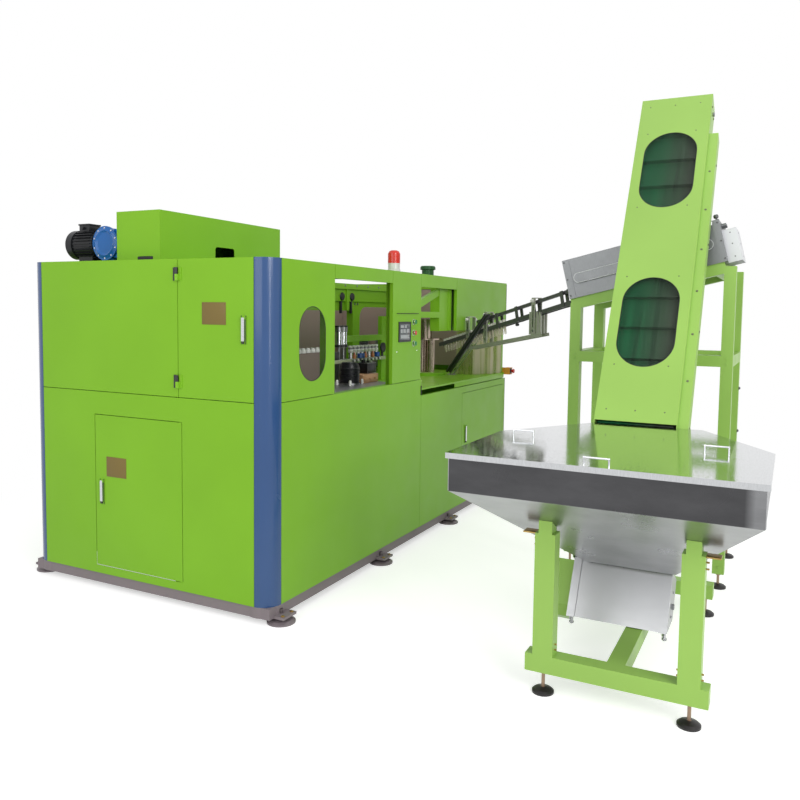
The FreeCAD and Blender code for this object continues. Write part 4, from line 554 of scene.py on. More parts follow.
# ---------------------------------------------------------------------------------------------
# Operators
# ---------------------------------------------------------------------------------------------
class MACHINE_OT_stage(bpy.types.Operator):
    """Pale floor, soft light and the camera"""
    bl_idname = "machine.stage"
    bl_label = "Stage"

    def execute(self, context):
        self.floor()
        self.world(context)
        self.lights()
        self.camera(context)
        context.scene.view_settings.view_transform = "Standard"
        return {"FINISHED"}

    def floor(self):
        """Pale floor that keeps the machine's shadow and fades into the white background."""
        mesh = bmesh.new()
        bmesh.ops.create_grid(mesh, x_segments=1, y_segments=1, size=60.0)
        data = bpy.data.meshes.new("studio_floor")
        mesh.to_mesh(data)
        mesh.free()
        material = bpy.data.materials.new("studio_floor")
        material.use_nodes = True
        nodes, links = material.node_tree.nodes, material.node_tree.links
        nodes.clear()
        output = nodes.new("ShaderNodeOutputMaterial")
        surface = nodes.new("ShaderNodeBsdfDiffuse")
        surface.inputs["Color"].default_value = (0.8, 0.8, 0.8, 1)
        glow = nodes.new("ShaderNodeEmission")
        path = nodes.new("ShaderNodeLightPath")
        seen = nodes.new("ShaderNodeMath")
        seen.operation = "ADD"
        seen.use_clamp = True
        links.new(path.outputs["Is Camera Ray"], seen.inputs[0])
        links.new(path.outputs["Is Glossy Ray"], seen.inputs[1])
        level = nodes.new("ShaderNodeMath")
        level.operation = "MULTIPLY"
        level.inputs[1].default_value = FLOOR_GLOW
        links.new(seen.outputs[0], level.inputs[0])
        links.new(level.outputs[0], glow.inputs["Strength"])
        near = nodes.new("ShaderNodeAddShader")
        links.new(surface.outputs[0], near.inputs[0])
        links.new(glow.outputs[0], near.inputs[1])
        white = nodes.new("ShaderNodeEmission")
        coords = nodes.new("ShaderNodeTexCoord")
        span = nodes.new("ShaderNodeVectorMath")
        span.operation = "DISTANCE"
        middle = (CAD_LOW + CAD_HIGH) / 2
        span.inputs[1].default_value = (middle.x, middle.y, 0.0)
        links.new(coords.outputs["Object"], span.inputs[0])
        fade = nodes.new("ShaderNodeMapRange")
        fade.interpolation_type = "SMOOTHSTEP"
        fade.inputs["From Min"].default_value = 2.4
        fade.inputs["From Max"].default_value = 4.2
        links.new(span.outputs["Value"], fade.inputs["Value"])
        share = nodes.new("ShaderNodeMath")
        share.operation = "MULTIPLY"
        links.new(fade.outputs["Result"], share.inputs[0])
        links.new(seen.outputs[0], share.inputs[1])
        both = nodes.new("ShaderNodeMixShader")
        links.new(share.outputs[0], both.inputs["Fac"])
        links.new(near.outputs[0], both.inputs[1])
        links.new(white.outputs[0], both.inputs[2])
        links.new(both.outputs[0], output.inputs["Surface"])
        data.materials.append(material)
        floor = bpy.data.objects.new("studio_floor", data)
        bpy.context.scene.collection.objects.link(floor)

    def world(self, context):
        world = bpy.data.worlds.new("studio")
        context.scene.world = world
        world.use_nodes = True
        nodes, links = world.node_tree.nodes, world.node_tree.links
        nodes.clear()
        output = nodes.new("ShaderNodeOutputWorld")
        ambient = nodes.new("ShaderNodeBackground")
        ambient.inputs["Color"].default_value = (1, 1, 1, 1)
        ambient.inputs["Strength"].default_value = 0.5
        white = nodes.new("ShaderNodeBackground")
        white.inputs["Color"].default_value = (1, 1, 1, 1)
        white.inputs["Strength"].default_value = 1.0
        path = nodes.new("ShaderNodeLightPath")
        seen = nodes.new("ShaderNodeMath")
        seen.operation = "ADD"
        links.new(path.outputs["Is Camera Ray"], seen.inputs[0])
        links.new(path.outputs["Is Transmission Ray"], seen.inputs[1])
        also = nodes.new("ShaderNodeMath")
        also.operation = "ADD"
        also.use_clamp = True
        links.new(seen.outputs[0], also.inputs[0])
        links.new(path.outputs["Is Glossy Ray"], also.inputs[1])
        choice = nodes.new("ShaderNodeMixShader")
        links.new(also.outputs[0], choice.inputs["Fac"])
        links.new(ambient.outputs[0], choice.inputs[1])
        links.new(white.outputs[0], choice.inputs[2])
        links.new(choice.outputs[0], output.inputs["Surface"])

    def lights(self):
        middle = (CAD_LOW + CAD_HIGH) / 2
        for name, offset, size, power in (
            ("key", (-5.2, -7.2, 3.2), (5.0, 5.0), 380),
            ("fill", (-8.0, 1.0, 2.2), (5.0, 5.0), 165),
            ("top", (0.5, -0.5, 8.0), (6.0, 6.0), 130),
            ("strip", (-6.6, -8.6, 0.9), (0.45, 3.4), 60),
        ):
            lamp = bpy.data.lights.new(name, "AREA")
            lamp.shape = "RECTANGLE"
            lamp.size, lamp.size_y = size
            lamp.energy = power
            item = bpy.data.objects.new(name, lamp)
            item.location = middle + Vector(offset)
            item.rotation_euler = (middle - item.location).to_track_quat("-Z", "Y").to_euler()
            bpy.context.scene.collection.objects.link(item)

    def camera(self, context):
        yaw, pitch, roll = math.radians(26.463), math.radians(-4.073), math.radians(0.743)
        forward = Vector((math.cos(pitch) * math.cos(yaw), math.cos(pitch) * math.sin(yaw), math.sin(pitch)))
        right = forward.cross(Vector((0, 0, 1))).normalized()
        up = right.cross(forward)
        across = right * math.cos(roll) + up * math.sin(roll)
        upright = up * math.cos(roll) - right * math.sin(roll)
        data = bpy.data.cameras.new("camera")
        data.sensor_width = 36.0
        data.lens = 34.846
        data.shift_x = -0.00849
        data.shift_y = -0.04163
        data.clip_end = 200.0
        camera = bpy.data.objects.new("camera", data)
        matrix = Matrix((across, upright, -forward)).transposed().to_4x4()
        matrix.translation = Vector((-3.4358, -2.4663, 1.7215))
        camera.matrix_world = matrix
        context.scene.collection.objects.link(camera)
        context.scene.camera = camera


class MACHINE_OT_finishes(bpy.types.Operator):
    """Paint, metal and plastic on the model's own parts"""
    bl_idname = "machine.finishes"
    bl_label = "Finishes"

    def execute(self, context):
        for finish, names in NODE_FINISHES.items():
            for name in names.split():
                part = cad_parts[name]
                part.data.materials.clear()
                part.data.materials.append(stock(finish))
        return {"FINISHED"}


def cab(x, y, z):
    """A point given from the cabinet's door end instead of the corner foot."""
    return Vector((DOOR_END + x, y, z))


def oval(width, low, high, count=12):
    """Corners of an upright oval with round ends, about the middle of its width."""
    radius = width / 2
    points = []
    for centre, start in ((high - radius, 0.0), (low + radius, math.pi)):
        for index in range(count + 1):
            angle = start + math.pi * index / count
            points.append((radius * math.cos(angle), centre + radius * math.sin(angle)))
    return points


class MACHINE_OT_door_plates(bpy.types.Operator):
    """Bare plates on the end doors, with a rivet in each corner"""
    bl_idname = "machine.door_plates"
    bl_label = "Door plates"

    def execute(self, context):
        for name, body, y, z in (("door_plate_upper", "upper_door", (0.292, 0.459), (1.636, 1.759)),
                                 ("door_plate_lower", "lower_door", (1.045, 1.206), (0.706, 0.827))):
            shape = Shape()
            shape.box((DOOR_END - 0.0022, y[0], z[0]), (DOOR_END + 0.0005, y[1], z[1]), 0.0009)
            for corner_y in (y[0] + 0.008, y[1] - 0.008):
                for corner_z in (z[0] + 0.008, z[1] - 0.008):
                    shape.rod((DOOR_END - 0.0034, corner_y, corner_z), (DOOR_END - 0.002, corner_y, corner_z),
                              0.0026, segments=10)
            shape.finish(name, stock("brown_plate"), body)
        return {"FINISHED"}


class MACHINE_OT_latches(bpy.types.Operator):
    """Side strips and pivot pins of the three door latches, and the screws of the door hinges"""
    bl_idname = "machine.latches"
    bl_label = "Latches"

    def execute(self, context):
        for name, body, y, z in (("latch_upper_trim", "upper_door", 0.170, 1.612),
                                 ("latch_lower_trim", "lower_door", 1.243, 0.611)):
            shape = Shape()
            shape.box((DOOR_END - 0.0052, y - 0.0165, z - 0.077), (DOOR_END - 0.0035, y - 0.0125, z + 0.077), 0.0006)
            shape.box((DOOR_END - 0.0052, y + 0.0125, z - 0.077), (DOOR_END - 0.0035, y + 0.0165, z + 0.077), 0.0006)
            shape.rod((DOOR_END - 0.0115, y, z - 0.069), (DOOR_END - 0.003, y, z - 0.069), 0.0065, segments=20,
                      bevel=0.001)
            shape.finish(name, stock("black_plastic"), body)
        shape = Shape()
        x, z = DOOR_END + 2.755, 0.690
        shape.box((x - 0.0165, -0.0052, z - 0.077), (x - 0.0125, -0.0035, z + 0.077), 0.0006)
        shape.box((x + 0.0125, -0.0052, z - 0.077), (x + 0.0165, -0.0035, z + 0.077), 0.0006)
        shape.rod((x, -0.0115, z - 0.069), (x, -0.003, z - 0.069), 0.0065, segments=20, bevel=0.001)
        shape.finish("latch_side_trim", stock("black_plastic"), "side_access_door")
        shape = Shape()
        for z in (1.310, 1.915):
            for dz in (-0.024, -0.012, 0.012, 0.024):
                shape.rod((DOOR_END - 0.0055, 0.652, z + 0.005 + dz * 0.6 + 0.014),
                          (DOOR_END - 0.0038, 0.652, z + 0.005 + dz * 0.6 + 0.014), 0.003, segments=10)
        shape.finish("hinge_screws", stock("rail_metal"))
        return {"FINISHED"}


class MACHINE_OT_window_gasket(bpy.types.Operator):
    """Rubber gasket round the oval window's opening, and dark rings of painted shade round the elevator's two panes,
    where the cover's edge shades them
    """
    bl_idname = "machine.window_gasket"
    bl_label = "Window gaskets"

    def execute(self, context):
        outer = oval(0.276, 1.314, 1.745, 20)
        inner = oval(0.268, 1.318, 1.741, 20)
        middle = DOOR_END + 0.409
        shape = Shape()
        shape.ring([(middle + u, 0.0003, v) for u, v in outer], [(middle + u, 0.0003, v) for u, v in inner],
                   (0, 0.0022, 0))
        shape.finish("window_gasket", stock("dark_rubber_and_painted_shade"))
        # painted shade: dark rings round the elevator's panes stand for the shadow of the cover's edge
        shape = Shape(ELEVATOR)
        for low in (1.430, 2.545):
            outer = oval(0.328, low, low + 0.600, 20)
            inner = oval(0.320, low + 0.004, low + 0.596, 20)
            shape.ring([(0.0004, u, v) for u, v in outer], [(0.0004, u, v) for u, v in inner], (0.0022, 0, 0))
        shape.finish("elevator_pane_shade_rings", stock("dark_rubber_and_painted_shade"))
        return {"FINISHED"}


class MACHINE_OT_operator_panel(bpy.types.Operator):
    """Display glass, button collars and small screws of the control panel, a rubber strip at the ledge's end and a
    painted shadow along the panel's top edge
    """
    bl_idname = "machine.operator_panel"
    bl_label = "Control panel"

    def execute(self, context):
        shape = Shape()
        shape.box(cab(1.4995, -0.0052, 1.5215), cab(1.6595, -0.0041, 1.6345), 0.0003)
        shape.finish("display_glass", stock("display"))
        shape = Shape()
        for x, z, wide, high in ((1.512, 1.606, 0.050, 0.018), (1.575, 1.606, 0.030, 0.018), (1.512, 1.571, 0.030, 0.026),
                                 (1.552, 1.571, 0.040, 0.026), (1.605, 1.571, 0.042, 0.026), (1.512, 1.532, 0.135, 0.024)):
            shape.box(cab(x, -0.0058, z), cab(x + wide, -0.0050, z + high), 0.0002)
        shape.finish("display_fields", stock("display_light"))
        collars = Shape()
        for z in (1.647, 1.569, 1.491):
            collars.turned([(0.0172, 0.0), (0.0210, 0.0), (0.0206, 0.0028), (0.0190, 0.0040), (0.0172, 0.0040),
                            (0.0172, 0.0)], cab(1.726, 0.0, z), (0, -1, 0), 28)
        for x, z in ((1.462, 1.440), (1.783, 1.440)):
            collars.screw(cab(x, -0.002, z), (0, -1, 0), 0.0042)
        collars.finish("button_collars", stock("chrome"))
        for body, name, z in (("start_button", "ring_start", 1.647), ("halt_button", "ring_halt", 1.569),
                              ("reset_button", "ring_reset", 1.491)):
            ring = Shape()
            ring.turned([(0.0159, 0.0), (0.0166, 0.0), (0.0166, 0.0075), (0.0159, 0.0085), (0.0159, 0.0)],
                        cab(1.726, -0.0088, z), (0, -1, 0), 28)
            ring.finish(name, stock("chrome"), body)
        strip = Shape()
        strip.box(cab(1.8600, -0.0050, 1.100), cab(1.8695, 0.0020, 1.172), 0.0015)
        # painted shadow: a dark strip under the control panel's top edge stands for the shade of its gap
        strip.box(cab(1.456, -0.0062, 1.7055), cab(1.800, -0.0010, 1.7095), 0.0008)
        strip.finish("ledge_rubber_and_panel_shadow_gap", stock("dark_rubber_and_painted_shade"))
        return {"FINISHED"}


class MACHINE_OT_stop_station(bpy.types.Operator):
    """Collar, edge plate and screws of the emergency stop on its box"""
    bl_idname = "machine.stop_station"
    bl_label = "Emergency stop"

    def execute(self, context):
        x, z = 3.676, 1.164
        ring = Shape()
        ring.turned([(0.0125, 0.0), (0.0255, 0.0), (0.0245, 0.0022), (0.0180, 0.0032), (0.0125, 0.0032), (0.0125, 0.0)],
                    (x, -0.050, z), (0, -1, 0), 32)
        ring.finish("stop_collar", stock("black_plastic"))
        plate = Shape()
        plate.box((INFEED_END + 0.0002, -0.0512, z - 0.0335), (INFEED_END + 0.0155, -0.0495, z + 0.0335), 0.0005)
        plate.finish("stop_box_plate", stock("black_plastic"))
        screws = Shape()
        for dx in (-0.014, 0.026):
            for dz in (-0.026, 0.026):
                screws.screw((x + dx, -0.050, z + dz), (0, -1, 0), 0.0032)
        screws.finish("stop_box_screws", stock("rail_metal"))
        return {"FINISHED"}


class MACHINE_OT_blower_fittings(bpy.types.Operator):
    """Rim bolts, cover ring and terminal box of the blower and its motor"""
    bl_idname = "machine.blower_fittings"
    bl_label = "Blower fittings"

    def execute(self, context):
        centre = cab(0.200, 1.415, 2.125)
        ring = Shape()
        ring.turned([(0.0, 0.0), (0.062, 0.0), (0.070, 0.004), (0.078, 0.009), (0.086, 0.004), (0.099, 0.0)],
                    centre + Vector((0.0005, 0, 0)), (-1, 0, 0), 48)
        ring.finish("blower_cover", stock("motor_paint"))
        bolts = Shape()
        for index in range(10):
            angle = math.tau * (index + 0.5) / 10
            bolts.bolt(centre + Vector((0, 0.093 * math.cos(angle), 0.093 * math.sin(angle))), (-1, 0, 0), 0.0048)
        bolts.finish("blower_bolts", stock("chrome"))
        box = Shape()
        box.box(cab(0.235, 1.590, 2.205), cab(0.325, 1.680, 2.252), 0.004)
        box.box(cab(0.231, 1.586, 2.246), cab(0.329, 1.684, 2.256), 0.002)
        box.rod(cab(0.235, 1.635, 2.228), cab(0.217, 1.635, 2.228), 0.010, segments=16, bevel=0.001)
        box.finish("motor_terminal_box", stock("black_paint"))
        return {"FINISHED"}


class MACHINE_OT_beacon_trim(bpy.types.Operator):
    """Pale base and upright ribs of the warning beacon"""
    bl_idname = "machine.beacon_trim"
    bl_label = "Beacon"

    def execute(self, context):
        x, y, top = 1.493, 0.045, 2.0
        base = Shape()
        base.turned([(0.0, 0.0), (0.0455, 0.0), (0.0455, 0.0108), (0.0408, 0.0150), (0.0408, 0.0500), (0.0428, 0.0505),
                     (0.0428, 0.0560), (0.0, 0.0560)], cab(x, y, top), (0, 0, 1), 40)
        base.finish("beacon_base", stock("beacon_pale"))
        ribs = Shape()
        for index in range(24):
            angle = math.tau * index / 24
            out = Vector((math.cos(angle), math.sin(angle), 0))
            start = cab(x, y, top) + out * 0.0418
            ribs.rod(start + Vector((0, 0, 0.060)), start + Vector((0, 0, 0.122)), 0.0011, segments=6)
        ribs.finish("beacon_ribs", stock("red"))
        return {"FINISHED"}


class MACHINE_OT_elevator_screws(bpy.types.Operator):
    """Screws of the elevator's cover and the bolts along its side strip"""
    bl_idname = "machine.elevator_screws"
    bl_label = "Elevator screws"

    def execute(self, context):
        radius = sizes().screw_radius
        shape = Shape(ELEVATOR)
        for s in (3.148, 2.553, 2.037, 1.441):
            for y in (-0.143, 0.157):
                shape.screw((0.0, y, s), (-1, 0, 0), radius)
        for s in (3.380, 1.158):
            for y in (-0.152, 0.005, 0.164):
                shape.screw((0.0, y, s), (-1, 0, 0), radius)
        shape.finish("elevator_cover_screws", stock("screw_dull"))
        bolts = Shape(ELEVATOR)
        for s in (2.821, 2.528, 2.237, 1.946, 1.660, 1.364):
            bolts.bolt((0.020, -0.250, s), (-1, 0, 0), 0.0052)
        for s in (2.9, 2.3, 1.7, 1.1, 0.5):
            bolts.bolt((0.065, -0.279, s), (0, -1, 0), 0.0060)
        bolts.finish("elevator_strip_bolts", stock("screw_dull"))
        end = Shape(ELEVATOR)
        for y in (-0.19, 0.0, 0.19):
            end.bolt((0.085 if y else 0.03, y, 3.446), (0, 0, 1), 0.0060)
        for x in (0.03, 0.14):
            for side in (-1, 1):
                end.bolt((x, side * 0.224, 3.36), (0, side, 0), 0.0060)
        end.finish("elevator_head_bolts", stock("screw_dull"))
        return {"FINISHED"}


class MACHINE_OT_tail_trim(bpy.types.Operator):
    """Screws, side flanges and drain studs of the elevator's tail housing, and a dark strip of painted shade in the
    seam above it
    """
    bl_idname = "machine.tail_trim"
    bl_label = "Tail housing"

    def execute(self, context):
        shape = Shape(ELEVATOR)
        for y in (-0.259, 0.191):
            for s in (0.060, 0.150, 0.250):
                shape.screw((-0.0040, y, s), (-1, 0, 0), 0.0036)
        for y in (-0.20, -0.12, -0.04, 0.04, 0.12):
            shape.screw((0.0, y, 0.288), (-1, 0, 0), 0.0030)
        for s in (0.10, 0.22):
            shape.bolt((0.085, -0.279, s), (0, -1, 0), 0.0055)
        shape.finish("tail_screws", stock("machined"))
        studs = Shape(ELEVATOR)
        for y in (-0.268, 0.184):
            studs.rod((0.012, y, 0.001), (0.012, y, -0.030), 0.006, segments=14)
            studs.rod((0.012, y, -0.014), (0.012, y, -0.026), 0.012, segments=18, bevel=0.002)
        studs.finish("tail_studs", stock("machined"))
        flanges = Shape(ELEVATOR)
        flanges.box((-0.0040, -0.2795, 0.004), (0.0006, -0.2470, 0.2860), 0.0010)
        flanges.box((-0.0040, 0.1780, 0.004), (0.0006, 0.2070, 0.2860), 0.0010)
        flanges.finish("tail_flanges", stock("brushed"))
        # painted shade: a dark strip for the open seam along the housing's top
        seam = Shape(ELEVATOR)
        seam.box((-0.0022, -0.236, 0.2965), (0.001, 0.168, 0.3035), 0.0008)
        seam.finish("tail_seam_painted_shade", stock("dark_rubber_and_painted_shade"))
        return {"FINISHED"}


class MACHINE_OT_feeder_bolts(bpy.types.Operator):
    """Bolts and top brackets of the hopper's legs"""
    bl_idname = "machine.feeder_bolts"
    bl_label = "Hopper legs"

    def execute(self, context):
        bolts = Shape()
        brackets = Shape()
        x = 0.017 + DOOR_END
        for leg in (-2.142, -1.518):
            for side in (-1, 1):
                face = leg + side * 0.035
                for z in (0.207, 0.232):
                    bolts.rod((x, face, z), (x, face + side * 0.020, z), 0.0042, segments=10)
                    bolts.bolt((x, face + side * 0.001, z), (0, side, 0), 0.0085)
            outward = -1 if leg < -1.8 else 1
            face = leg + outward * 0.035
            brackets.box((x - 0.030, min(face, face + outward * 0.070), 0.7345),
                         (x + 0.030, max(face, face + outward * 0.070), 0.7405), 0.0008)
            brackets.box((x - 0.030, min(face, face + outward * 0.005), 0.660), (x + 0.030, max(face, face + outward * 0.005),
                                                                             0.7345), 0.0008)
            for z in (0.680, 0.708):
                bolts.bolt((x, face + outward * 0.005, z), (0, outward, 0), 0.0085)
                bolts.rod((x, face + outward * 0.005, z), (x, face + outward * 0.024, z), 0.0042, segments=10)
        bolts.finish("leg_bolts", stock("brass"))
        brackets.finish("leg_brackets", stock("brass"))
        return {"FINISHED"}


class MACHINE_OT_stand_bolts(bpy.types.Operator):
    """Bolts at the joints of the unscrambler's stand and clips on its far leg"""
    bl_idname = "machine.stand_bolts"
    bl_label = "Stand bolts"

    def execute(self, context):
        bolts = Shape()
        for x in (1.865, 2.563):
            for y in (-1.155, -2.106):
                for z in (1.424, 1.452) if x < 2.0 else ():
                    bolts.bolt(cab(x - 0.035, y, z), (-1, 0, 0), 0.007)
                bolts.bolt(cab(x - 0.035, y, 0.140), (-1, 0, 0), 0.007)
        bolts.finish("stand_bolts", stock("feeder_paint"))
        clips = Shape()
        for z in (1.205, 0.905):
            clips.box(cab(2.535, -2.146, z), cab(2.575, -2.140, z + 0.020), 0.001)
            clips.box(cab(2.545, -2.152, z + 0.004), cab(2.565, -2.145, z + 0.016), 0.001)
        clips.finish("leg_clips", stock("rail_metal"))
        return {"FINISHED"}


class MACHINE_OT_unscrambler_trim(bpy.types.Operator):
    """Corner screws, a painted highlight on the side ridge's rim, adjusting knobs and drive cover of the unscrambler"""
    bl_idname = "machine.unscrambler_trim"
    bl_label = "Unscrambler fittings"

    def execute(self, context):
        screws = Shape(CASE)
        for y in (-0.012, -0.988):
            for z in (0.020, 0.130, 0.245):
                screws.screw((-0.003, y, z), (-1, 0, 0), 0.0055)
        for x in (0.03, 0.37, 0.71):
            for z in (0.03, 0.235):
                screws.screw((x, -1.0, z), (0, -1, 0), 0.0055)
                screws.screw((x, 0.0, z), (0, 1, 0), 0.0055)
        screws.finish("case_screws", stock("rail_metal"))
        # painted highlight: a pale ring along the edge of the side ridge stands for the light it catches
        rim = Shape(CASE)
        ridge = [(-0.0162, -0.5 + v, 0.125 + u) for u, v in oval(0.066, -0.443, 0.443, 16)]
        inner = [(-0.0162, -0.5 + v, 0.125 + u) for u, v in oval(0.060, -0.440, 0.440, 16)]
        rim.ring(ridge, inner, (-0.0012, 0, 0))
        rim.finish("ridge_painted_highlight", stock("drive_white_and_highlight"))
        knobs = Shape(CASE)
        knobs.box((0.026, -1.0004, 0.2640), (0.044, -0.9340, 0.2675), 0.0008)
        for y, z in ((-0.986, 0.262), (-0.945, 0.262)):
            knobs.rod((0.035, y, 0.255), (0.035, y, z + 0.020), 0.006, segments=14)
            knobs.turned([(0.0, 0.0), (0.012, 0.0), (0.015, 0.005), (0.015, 0.016), (0.011, 0.022), (0.0, 0.023)],
                         (0.035, y, z + 0.014), (0, 0, 1), 20)
        knobs.finish("case_knobs", stock("rail_metal"))
        cover = Shape(CASE)
        cover.box((0.026, -1.0838, 0.1885), (0.364, -0.9995, 0.1935), 0.0012)
        cover.box((0.0265, -1.0835, -0.0120), (0.0300, -1.0000, 0.1885), 0.0010)
        cover.box((0.0300, -1.0835, -0.0120), (0.3635, -1.0800, 0.1885), 0.0010)
        cover.finish("drive_cover", stock("drive_white_and_highlight"))
        fixings = Shape(CASE)
        for z in (0.02, 0.10, 0.17):
            fixings.screw((0.0265, -1.045, z), (-1, 0, 0), 0.0040)
            fixings.screw((0.195, -1.0835, z), (0, -1, 0), 0.0040)
        fixings.finish("drive_cover_screws", stock("rail_metal"))
        return {"FINISHED"}


class MACHINE_OT_preforms(bpy.types.Operator):
    """Preforms that hang by their neck rings in the chute"""
    bl_idname = "machine.preforms"
    bl_label = "Preforms"

    def execute(self, context):
        body, length = sizes().preform_radius, sizes().preform_length
        rings = Shape(CHUTE)
        bodies = Shape(CHUTE)
        pitch = 0.0388
        for index in range(22):
            y = 0.763 + pitch * index
            rings.turned([(0.0090, 0.022), (0.0125, 0.022), (0.0125, 0.0175), (0.0138, 0.0165), (0.0125, 0.0150),
                          (0.0125, 0.0120), (0.0138, 0.0110), (0.0125, 0.0095), (0.0125, 0.0030), (0.0190, 0.0026),
                          (0.0190, 0.0004), (0.0118, 0.0004), (0.0118, -0.006), (0.0090, -0.006), (0.0090, 0.022)],
                         (0, y, -0.010), (0, 0, 1), 14)
            bodies.turned([(0.0, -length), (body * 0.6, -length + 0.002), (body * 0.95, -length + 0.008),
                           (body, -length + 0.016), (body, -0.022), (0.0120, -0.006), (0.0090, -0.006),
                           (0.0085, -0.060), (0.0, -length + 0.012)], (0, y, -0.010), (0, 0, 1), 14)
        rings.finish("preform_necks", stock("preform_neck"))
        bodies.finish("preform_bodies", stock("preform"))
        return {"FINISHED"}


class MACHINE_OT_chute_fittings(bpy.types.Operator):
    """Clamping knobs, slotted straps and rail bolts of the chute"""
    bl_idname = "machine.chute_fittings"
    bl_label = "Chute fittings"

    def execute(self, context):
        knobs = Shape(CHUTE_LEVEL)
        bolts = Shape(CHUTE_LEVEL)
        for v, low, high in ((0.350, -0.264, 0.008), (0.915, -0.348, -0.102), (1.150, -0.318, -0.144)):
            for side in (-1, 1):
                x = side * 0.0360
                top = high - 0.020
                knobs.rod((x, v + 0.020, top), (x + side * 0.022, v + 0.020, top), 0.013, end_radius=0.011,
                          segments=18, bevel=0.002)
                for z in (low + 0.030, (low + high) / 2 - 0.02):
                    bolts.bolt((x, v + 0.020, z), (side, 0, 0), 0.0075)
        arms = Shape(CHUTE_LEVEL)
        foot, head = Vector((-0.050, 1.388, -0.617)), Vector((-0.050, 0.870, -0.118))
        for shift in (0.0, 0.034):
            step = Vector((-shift * 0.2, shift, 0))
            arms.rod(foot + step, head + step, 0.0125, segments=14, bevel=0.002)
        arms.rod(head + Vector((-0.006, -0.010, 0)), head + Vector((0.030, 0.044, 0)), 0.007, segments=14)
        arms.finish("strut_arms", stock("black_plastic"))
        knobs.finish("chute_knobs", stock("white_plastic"))
        bolts.finish("chute_bolts", stock("machined"))
        # painted shade: thin dark strips stand for the shade seen in the straps' slots
        slots = Shape(CHUTE_LEVEL)
        for v, low, high in ((0.350, -0.264, 0.008), (0.915, -0.348, -0.102), (1.150, -0.318, -0.144)):
            for side in (-1, 1):
                x = side * 0.0361
                slots.box((x - 0.0004, v + 0.015, low + 0.055), (x + 0.0004, v + 0.025, high - 0.050), 0.0002)
        slots.finish("strap_slot_shade", stock("dark_rubber_and_painted_shade"))
        black = Shape(CHUTE)
        for y in (0.470, 0.640):
            black.turned([(0.0, -0.020), (0.012, -0.020), (0.015, -0.016), (0.015, -0.004), (0.008, 0.0), (0.0, 0.0)],
                         (0.024, y, -0.043), (0, 0, 1), 20)
        black.finish("rail_knobs", stock("black_plastic"))
        return {"FINISHED"}


